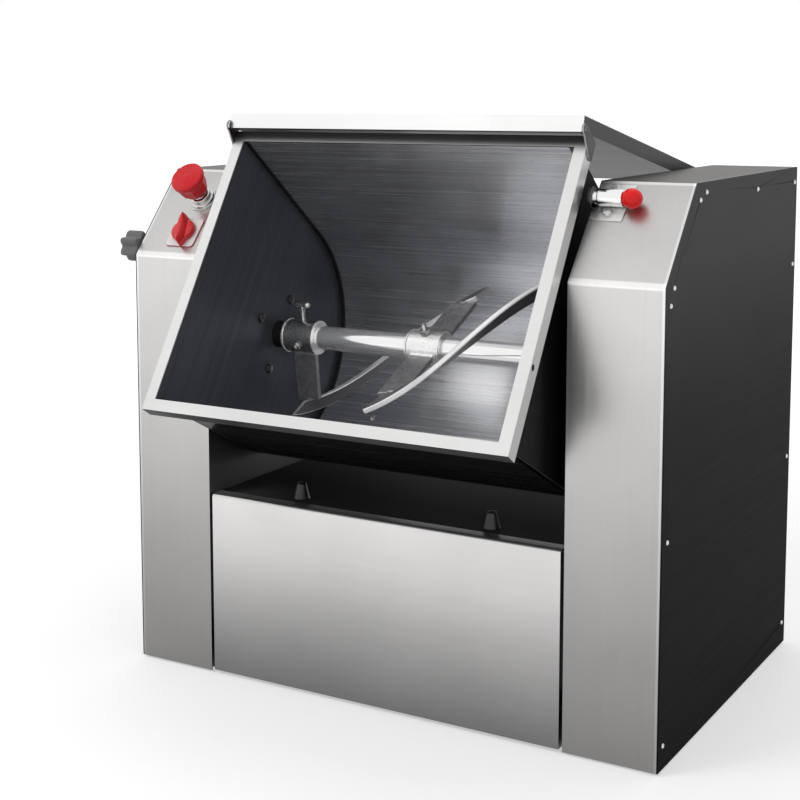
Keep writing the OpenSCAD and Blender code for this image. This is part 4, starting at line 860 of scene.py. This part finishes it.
# Trim of the tub
def tub_trim():
    """The bolts round both trunnions, the shaft seals, and the plug in the bowl."""
    bolt_ring, bolt_r, bolt_end, nut_x = 45, 3, 214, 210
    bolt = [(0, END_X), (bolt_r, END_X), (bolt_r, bolt_end - 0.4), (2.5, bolt_end), (0, bolt_end)]
    nut = [(bolt_r, nut_x), (4.6, nut_x), (5, nut_x + 0.3, HEX), (5, 213.5, HEX), (4.6, 213.9),
           (bolt_r, 213.9)]
    bm = bmesh.new()
    for side in (-1, 1):
        for k in range(4):
            spot = IN_TUB @ turn("X", 90 * k) @ at(0, bolt_ring, 0) @ turn("Y", 90 * side)
            # The heads inside the tub take the darker copy, painted shade
            hex_head(bm, spot @ at(0, 0, END_X) @ turn("Y", 180), 10, 3.5, mat=1)
            turned(bm, bolt, spot, 24)
            turned(bm, nut, spot, loop=True)
    piece("trunnion_bolts", bm, ["fastener", "fastener_in_painted_shade"], "tub")

    bore, seal_r, low, high = 14.15, 16, 188, 204
    seal = [(bore, low), (14.6, low), (15.6, 188.5), (seal_r, 189.4), (seal_r, 193.4), (15.5, 193.7),
            (15.5, 194.3), (seal_r, 194.6), (seal_r, high), (bore, high)]
    bm = bmesh.new()
    for side in (-1, 1):
        turned(bm, seal, IN_TUB @ turn("Y", 90 * side), 56, loop=True)
    piece("shaft_seals", bm, ["rubber"], "tub")

    here = IN_TUB @ at(PLUG_X) @ turn("X", PLUG_ANGLE) @ RADIAL @ turn("X", 180)
    wall = -BOWL_R
    bm = bmesh.new()
    turned(bm, [(0, wall - 5), (2, wall - 5), (2, wall + 0.03), (3.8, wall + 0.03), (4, wall + 0.4),
                (3.8, wall + 1.3), (3.2, wall + 1.9), (2.2, wall + 2), (2.1, wall + 1.7, HEX),
                (1.9, wall + 0.5, HEX), (0, wall + 0.4)], here)
    piece("wall_plug", bm, ["fastener"], "tub")


# CAD nodes: finishes, softened edges and shading
SHARP_FOLD, BEVEL_FOLD = math.radians(30), math.radians(40)


def node_group(name, chain):
    """A geometry node group whose nodes, given by chain, follow each other."""
    tree = bpy.data.node_groups.new(name, "GeometryNodeTree")
    for way in ("INPUT", "OUTPUT"):
        tree.interface.new_socket("Geometry", in_out=way, socket_type="NodeSocketGeometry")
    last = tree.nodes.new("NodeGroupInput").outputs[0]
    for node in chain(tree):
        tree.links.new(last, node.inputs["Geometry"])
        last = node.outputs["Geometry"]
    tree.links.new(last, tree.nodes.new("NodeGroupOutput").inputs[0])
    return tree


def joined(tree):
    """Drops the stored normals and joins the vertices that lie on each other."""
    drop = tree.nodes.new("GeometryNodeRemoveAttribute")
    drop.inputs["Name"].default_value = "custom_normal"
    merge = tree.nodes.new("GeometryNodeMergeByDistance")
    merge.inputs["Distance"].default_value = 2e-6
    return drop, merge


def shaded(tree):
    """Smooth shading, but for the edges that fold sharply."""
    faces = tree.nodes.new("GeometryNodeSetShadeSmooth")
    edges = tree.nodes.new("GeometryNodeSetShadeSmooth")
    edges.domain = "EDGE"
    edges.inputs["Shade Smooth"].default_value = False
    over = tree.nodes.new("FunctionNodeCompare")
    over.operation = "GREATER_THAN"
    over.inputs[1].default_value = SHARP_FOLD
    tree.links.new(tree.nodes.new("GeometryNodeInputMeshEdgeAngle").outputs[0], over.inputs[0])
    tree.links.new(over.outputs[0], edges.inputs["Selection"])
    return faces, edges


JOINED, SHADED = node_group("joined_vertices", joined), node_group("shaded_by_angle", shaded)


def finish_node(node, mat, edge):
    """Gives a CAD node its material, softened edges of the given width, and even shading."""
    ob = NODES[node]
    ob.data.materials.clear()
    ob.data.materials.append(MATERIALS[mat])
    ob.modifiers.new("joined", "NODES").node_group = JOINED
    if edge:
        bevel = ob.modifiers.new("softened", "BEVEL")
        bevel.width, bevel.segments = edge * MM, 2
        bevel.limit_method, bevel.angle_limit = "ANGLE", BEVEL_FOLD
        bevel.use_clamp_overlap = True
    ob.modifiers.new("shaded", "NODES").node_group = SHADED
    even = ob.modifiers.new("even_normals", "WEIGHTED_NORMAL")
    even.keep_sharp = True


# Material, width of the softened edges, and nodes
NODE_LOOKS = [
    ("column", 0.4, ["left_column_cover", "right_column_cover"]),
    ("panel", 0.5, ["front_panel"]),
    ("rear", 0.4, ["rear_covers", "rear_panel"]),
    ("side", 0.35, ["left_side_panel", "right_side_panel"]),
    ("rim", 0.3, ["tub_rim_frame"]),
    ("lid", 0.4, ["lid"]),
    ("ears", 0.4, ["hinge_ears", "hinge_pins"]),
    ("tub", 0, ["tub_wall"]),
    ("end", 0.3, ["tub_left_end", "tub_right_end"]),
    ("shelf", 0.3, ["shelf_plate"]),
    ("shaft", 0.5, ["agitator_shaft"]),
    ("polished", 0.5, ["jackshaft", "motor_shaft"]),
    ("chrome", 0.4, ["estop_stem"]),
    ("fastener", 0.4, ["bearing_bolts"]),
    ("machined", 0.6, ["trunnion_bearings", "trunnions", "trunnion_collars", "shaft_bearings", "pinion"]),
    ("iron", 0.6, ["driven_gear", "large_pulley", "motor_pulley", "jackshaft_housing"]),
    ("frame", 1.2, ["base_cross_rails", "base_side_rails", "motor_rails", "inner_plates"]),
    ("motor", 2.0, ["motor_body", "motor_terminal_box"]),
    ("black", 1.0, ["estop_contact_block", "selector_body", "cable_gland"]),
    ("grey", 2.0, ["contactor_box"]),
    ("rubber", 0.5, ["drive_belt"]),
]


# Floor and light
def make_world():
    """Plain white to the camera and in reflections, and dimmer as light on the object."""
    world = bpy.data.worlds.new("studio")
    bpy.context.scene.world = world
    world.use_nodes = True
    tree = world.node_tree
    path = tree.nodes.new("ShaderNodeLightPath")
    seen = path.outputs["Is Camera Ray"]
    for ray in ("Is Glossy Ray", "Is Transmission Ray"):
        add = tree.nodes.new("ShaderNodeMath")
        add.operation, add.use_clamp = "ADD", True
        tree.links.new(seen, add.inputs[0])
        tree.links.new(path.outputs[ray], add.inputs[1])
        seen = add.outputs[0]
    level = tree.nodes.new("ShaderNodeMapRange")
    level.inputs["To Min"].default_value = WORLD_LIGHT
    level.inputs["To Max"].default_value = 1.0
    tree.links.new(seen, level.inputs["Value"])
    tree.links.new(level.outputs["Result"], tree.nodes["Background"].inputs["Strength"])
    tree.nodes["Background"].inputs["Color"].default_value = (1, 1, 1, 1)


def make_floor():
    """A pale floor that glows to the camera and in reflections, more so further out."""
    bm = bmesh.new()
    bmesh.ops.create_circle(bm, cap_ends=True, segments=96, radius=FLOOR_R)
    me = bpy.data.meshes.new("floor")
    bm.to_mesh(me)
    bm.free()
    floor = bpy.data.objects.new("floor", me)
    floor.location.z = FLOOR_Z
    bpy.context.scene.collection.objects.link(floor)
    g = Graph("pale_floor", rough=0.6, spec=0.2)
    g.colour(g.mix((0.60, 0.60, 0.60), g.range(g.noise(g.place(), 4.0, 60.0), *PATCH_SPREAD, 0.985, 1.015)))
    x, y = g.split(g.place())[:2]
    out = g.math("SQRT", g.math("ADD", g.math("MULTIPLY", x, x), g.math("MULTIPLY", y, y)))
    far = g.range(out, *GLOW_REACH, *FLOOR_GLOW, smooth=True)
    light = g.node("LightPath").outputs
    seen = g.math("MAXIMUM", light["Is Camera Ray"], light["Is Glossy Ray"])
    glow = g.node("Emission")
    g.link(g.math("MULTIPLY", seen, far), glow.inputs["Strength"])
    both = g.node("AddShader")
    g.link(g.bsdf.outputs[0], both.inputs[0])
    g.link(glow.outputs[0], both.inputs[1])
    g.link(both.outputs[0], g.tree.nodes["Material Output"].inputs["Surface"])
    me.materials.append(g.mat)


def make_lamps():
    """Soft round lamps that light the object but don't show in its reflections."""
    for name, spot, size, power in LAMPS:
        lamp = bpy.data.lights.new(name, "AREA")
        lamp.shape, lamp.size, lamp.energy = "DISK", size, power
        ob = bpy.data.objects.new(name, lamp)
        ob.location = spot
        ob.rotation_euler = (Vector(LIT) - Vector(spot)).to_track_quat("-Z", "Y").to_euler()
        ob.visible_glossy = False
        bpy.context.scene.collection.objects.link(ob)


for make in (estop, selector, lock, bracket, bumpers, star_knob, panel_screws, hubs, ribbons, hub_bolts,
             tub_trim, make_world, make_floor, make_lamps):
    make()
for mat, edge, nodes in NODE_LOOKS:
    for node in nodes:
        finish_node(node, mat, edge)
bpy.context.scene.view_settings.view_transform = "Standard"
